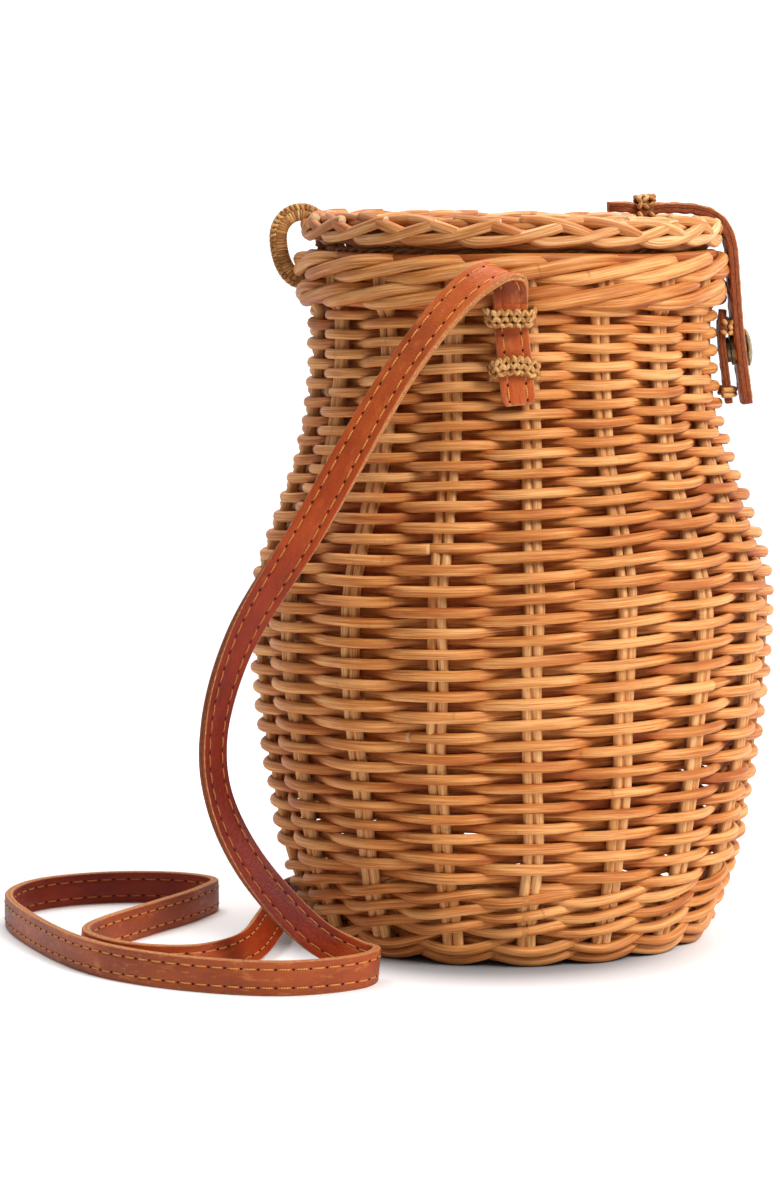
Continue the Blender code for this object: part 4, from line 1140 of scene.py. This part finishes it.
# Painted light and shade along the strap: paler near its top where it is lit, painted darker down the hanging
# part and duller on the runs behind, where they lie in shade.
STRAP_PAINTED_SHADING = ((0, 1.05), (0.04, 1.02), (0.075, 0.82), (0.12, 0.5), (0.16, 0.3), (0.215, 0.3), (0.235, 0.55),
                (0.26, 1.0), (0.3, 1.1), (0.4, 1.0), (0.43, 0.42), (0.495, 0.38), (0.52, 0.85), (0.58, 0.95),
                (0.64, 0.95), (0.67, 0.5), (1.0, 0.75))


def make_shoulder_strap(leather, thread):
    points, widths = catmull_rom(STRAP_ROUTE_MM, 0.0016)
    gone = distance_along(points)
    painted_shading = np.interp(gone / gone[-1], *np.transpose(STRAP_PAINTED_SHADING))
    strip = Strip(points, widths, STRAP_WIDTH, STRAP_THICKNESS)
    strap = strap_mesh("long_strap", strip, leather, painted_shading=painted_shading, joined=(True, True))
    stitches = stitch_mesh("long_strap_stitches", strip, thread, painted_shading=painted_shading)
    settle(strap, "basket", "leather", "shoulder_strap")
    settle(stitches, "basket", "leather")
    path = [tuple(p) for p in points]
    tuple(path[0])
    make_strap_ends(leather, thread)


def make_strap_ends(leather, thread):
    """The fixed ends, which lie on the wall under the keepers and step out over the rim."""
    for side, sign in (("front", -1), ("back", 1)):
        node = f"shoulder_strap_{side}_end"
        z = np.linspace(STRAP_END_TOP, STRAP_END_BOTTOM, 60)
        down = np.clip((0.208 - z) / 0.027, 0, 1)
        x = -0.0025 + 0.0028 * down if side == "front" else 0
        path = points_at(x, sign * strap_end_distance(z), z)
        strip = Strip(path, np.tile((-float(sign), 0.0, 0.0), (len(path), 1)), STRAP_WIDTH, STRAP_THICKNESS)
        strap = strap_mesh(node + "_leather", strip, leather, 2.0, (False, True), joined=(True, False))
        settle(strap, "basket", "leather", node)
        settle(stitch_mesh(node + "_stitches", strip, thread, 0.003), "basket", "leather")


# The closure strap's middle in the plane y = 0, from its tip on the lid to its end on the tab, in millimetres.
CLOSURE_ROUTE_MM = ((31.9, 242.3), (37.0, 242.4), (44.0, 241.3), (49.5, 242.0), (55.5, 242.0), (60.5, 241.6),
                    (64.8, 240.5), (68.2, 238.4), (70.7, 235.2), (72.2, 231.2), (72.9, 227.0), (73.4, 221.0),
                    (74.0, 213.5), (74.7, 205.0), (75.7, 196.5), (76.9, 187.5), (78.4, 177.4))
CLOSURE_WIDTH = 0.018
CLOSURE_THICKNESS = 0.0034
# The tab's middle, from its top on the wall to its end.
TAB_ROUTE_MM = ((70.2, 208.4), (69.95, 203.0), (69.9, 197.5), (70.25, 194.8), (71.5, 185.5), (72.55, 177.4))
TAB_WIDTH = 0.012
TAB_THICKNESS = 0.0022


def make_closure(leather, thread):
    """The strap that is tied to the lid and bows down over its edge, and the short tab on the wall."""
    path, widths = catmull_rom([((x, 0, z), (0, 1, 0)) for x, z in CLOSURE_ROUTE_MM], 0.0009)
    hanging = np.clip((0.24 - path[:, 2]) / 0.03, 0, 1)
    strip = Strip(path, -widths, CLOSURE_WIDTH, CLOSURE_THICKNESS)
    # Painted light and shade: the strap is paler on top of the lid and darker where it hangs down its side.
    strap = strap_mesh("closure_leather", strip, leather, 4.0, (True, True), 1.08 - 0.3 * hanging, True)
    stitches = stitch_mesh("closure_stitches", strip, thread)
    for piece in (strap, stitches):
        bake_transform(piece)
    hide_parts("closure_strap", "closure_flap")
    path, widths = catmull_rom([((x, 0, z), (0, 1, 0)) for x, z in TAB_ROUTE_MM], 0.0009)
    strip = Strip(path, -widths, TAB_WIDTH, TAB_THICKNESS)
    # The tab's leather is drawn darker, at a lightness of 0.8.
    tab = strap_mesh("tab_leather", strip, leather, 5.0, (True, True), 0.8, True)
    settle(tab, "basket", "leather", "closure_tab")
    settle(stitch_mesh("tab_stitches", strip, thread, 0.003, faces=(1,)), "basket", "leather")


# ---------------- assembly

# Dark, middle and pale grain, and the pith at cut ends.
HONEY_REED = ((0.34, 0.075, 0.01), (0.57, 0.205, 0.044), (0.79, 0.385, 0.13), (0.74, 0.44, 0.21))
DULL_REED = ((0.36, 0.105, 0.019), (0.59, 0.25, 0.072), (0.77, 0.42, 0.165), (0.64, 0.38, 0.195))
PALE_REED = ((0.37, 0.1, 0.02), (0.59, 0.245, 0.068), (0.86, 0.52, 0.245), (0.8, 0.55, 0.32))
BROWN_CANE = ((0.19, 0.055, 0.01), (0.45, 0.195, 0.05), (0.72, 0.41, 0.15), (0.6, 0.36, 0.16))

woven = reed_material("woven_rattan", *HONEY_REED, 0.5)
upright = reed_material("stake_rattan", *DULL_REED, 0.58)
plaited = reed_material("border_rattan", *HONEY_REED, 0.46)
wheaten = reed_material("lid_rattan", *PALE_REED, 0.48)
cane = reed_material("cane_tie", *BROWN_CANE, 0.5)
leather = leather_material()
thread = thread_material()

make_camera()
make_light()
make_floor()
make_shoulder_strap(leather, thread)
weave_wall(woven)
make_stakes(upright)
make_foot(plaited)
make_rim(plaited)
make_base(woven)
make_lid(wheaten)
make_hinge_ring(cane)
make_strap_keepers(cane)
make_closure_keepers(cane)
make_closure(leather, thread)

# Colour, tarnish and roughness of the snap's metal.
WORN_BRASS = ((0.42, 0.29, 0.13), (0.15, 0.1, 0.05), 0.3)
DARK_BRASS = ((0.3, 0.21, 0.11), (0.09, 0.06, 0.035), 0.38)

for node, finish in (("snap_cap", WORN_BRASS), ("snap_socket", DARK_BRASS), ("snap_stud", DARK_BRASS)):
    for material_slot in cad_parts[node].material_slots:
        material_slot.material = metal_material(node + "_metal", *finish)
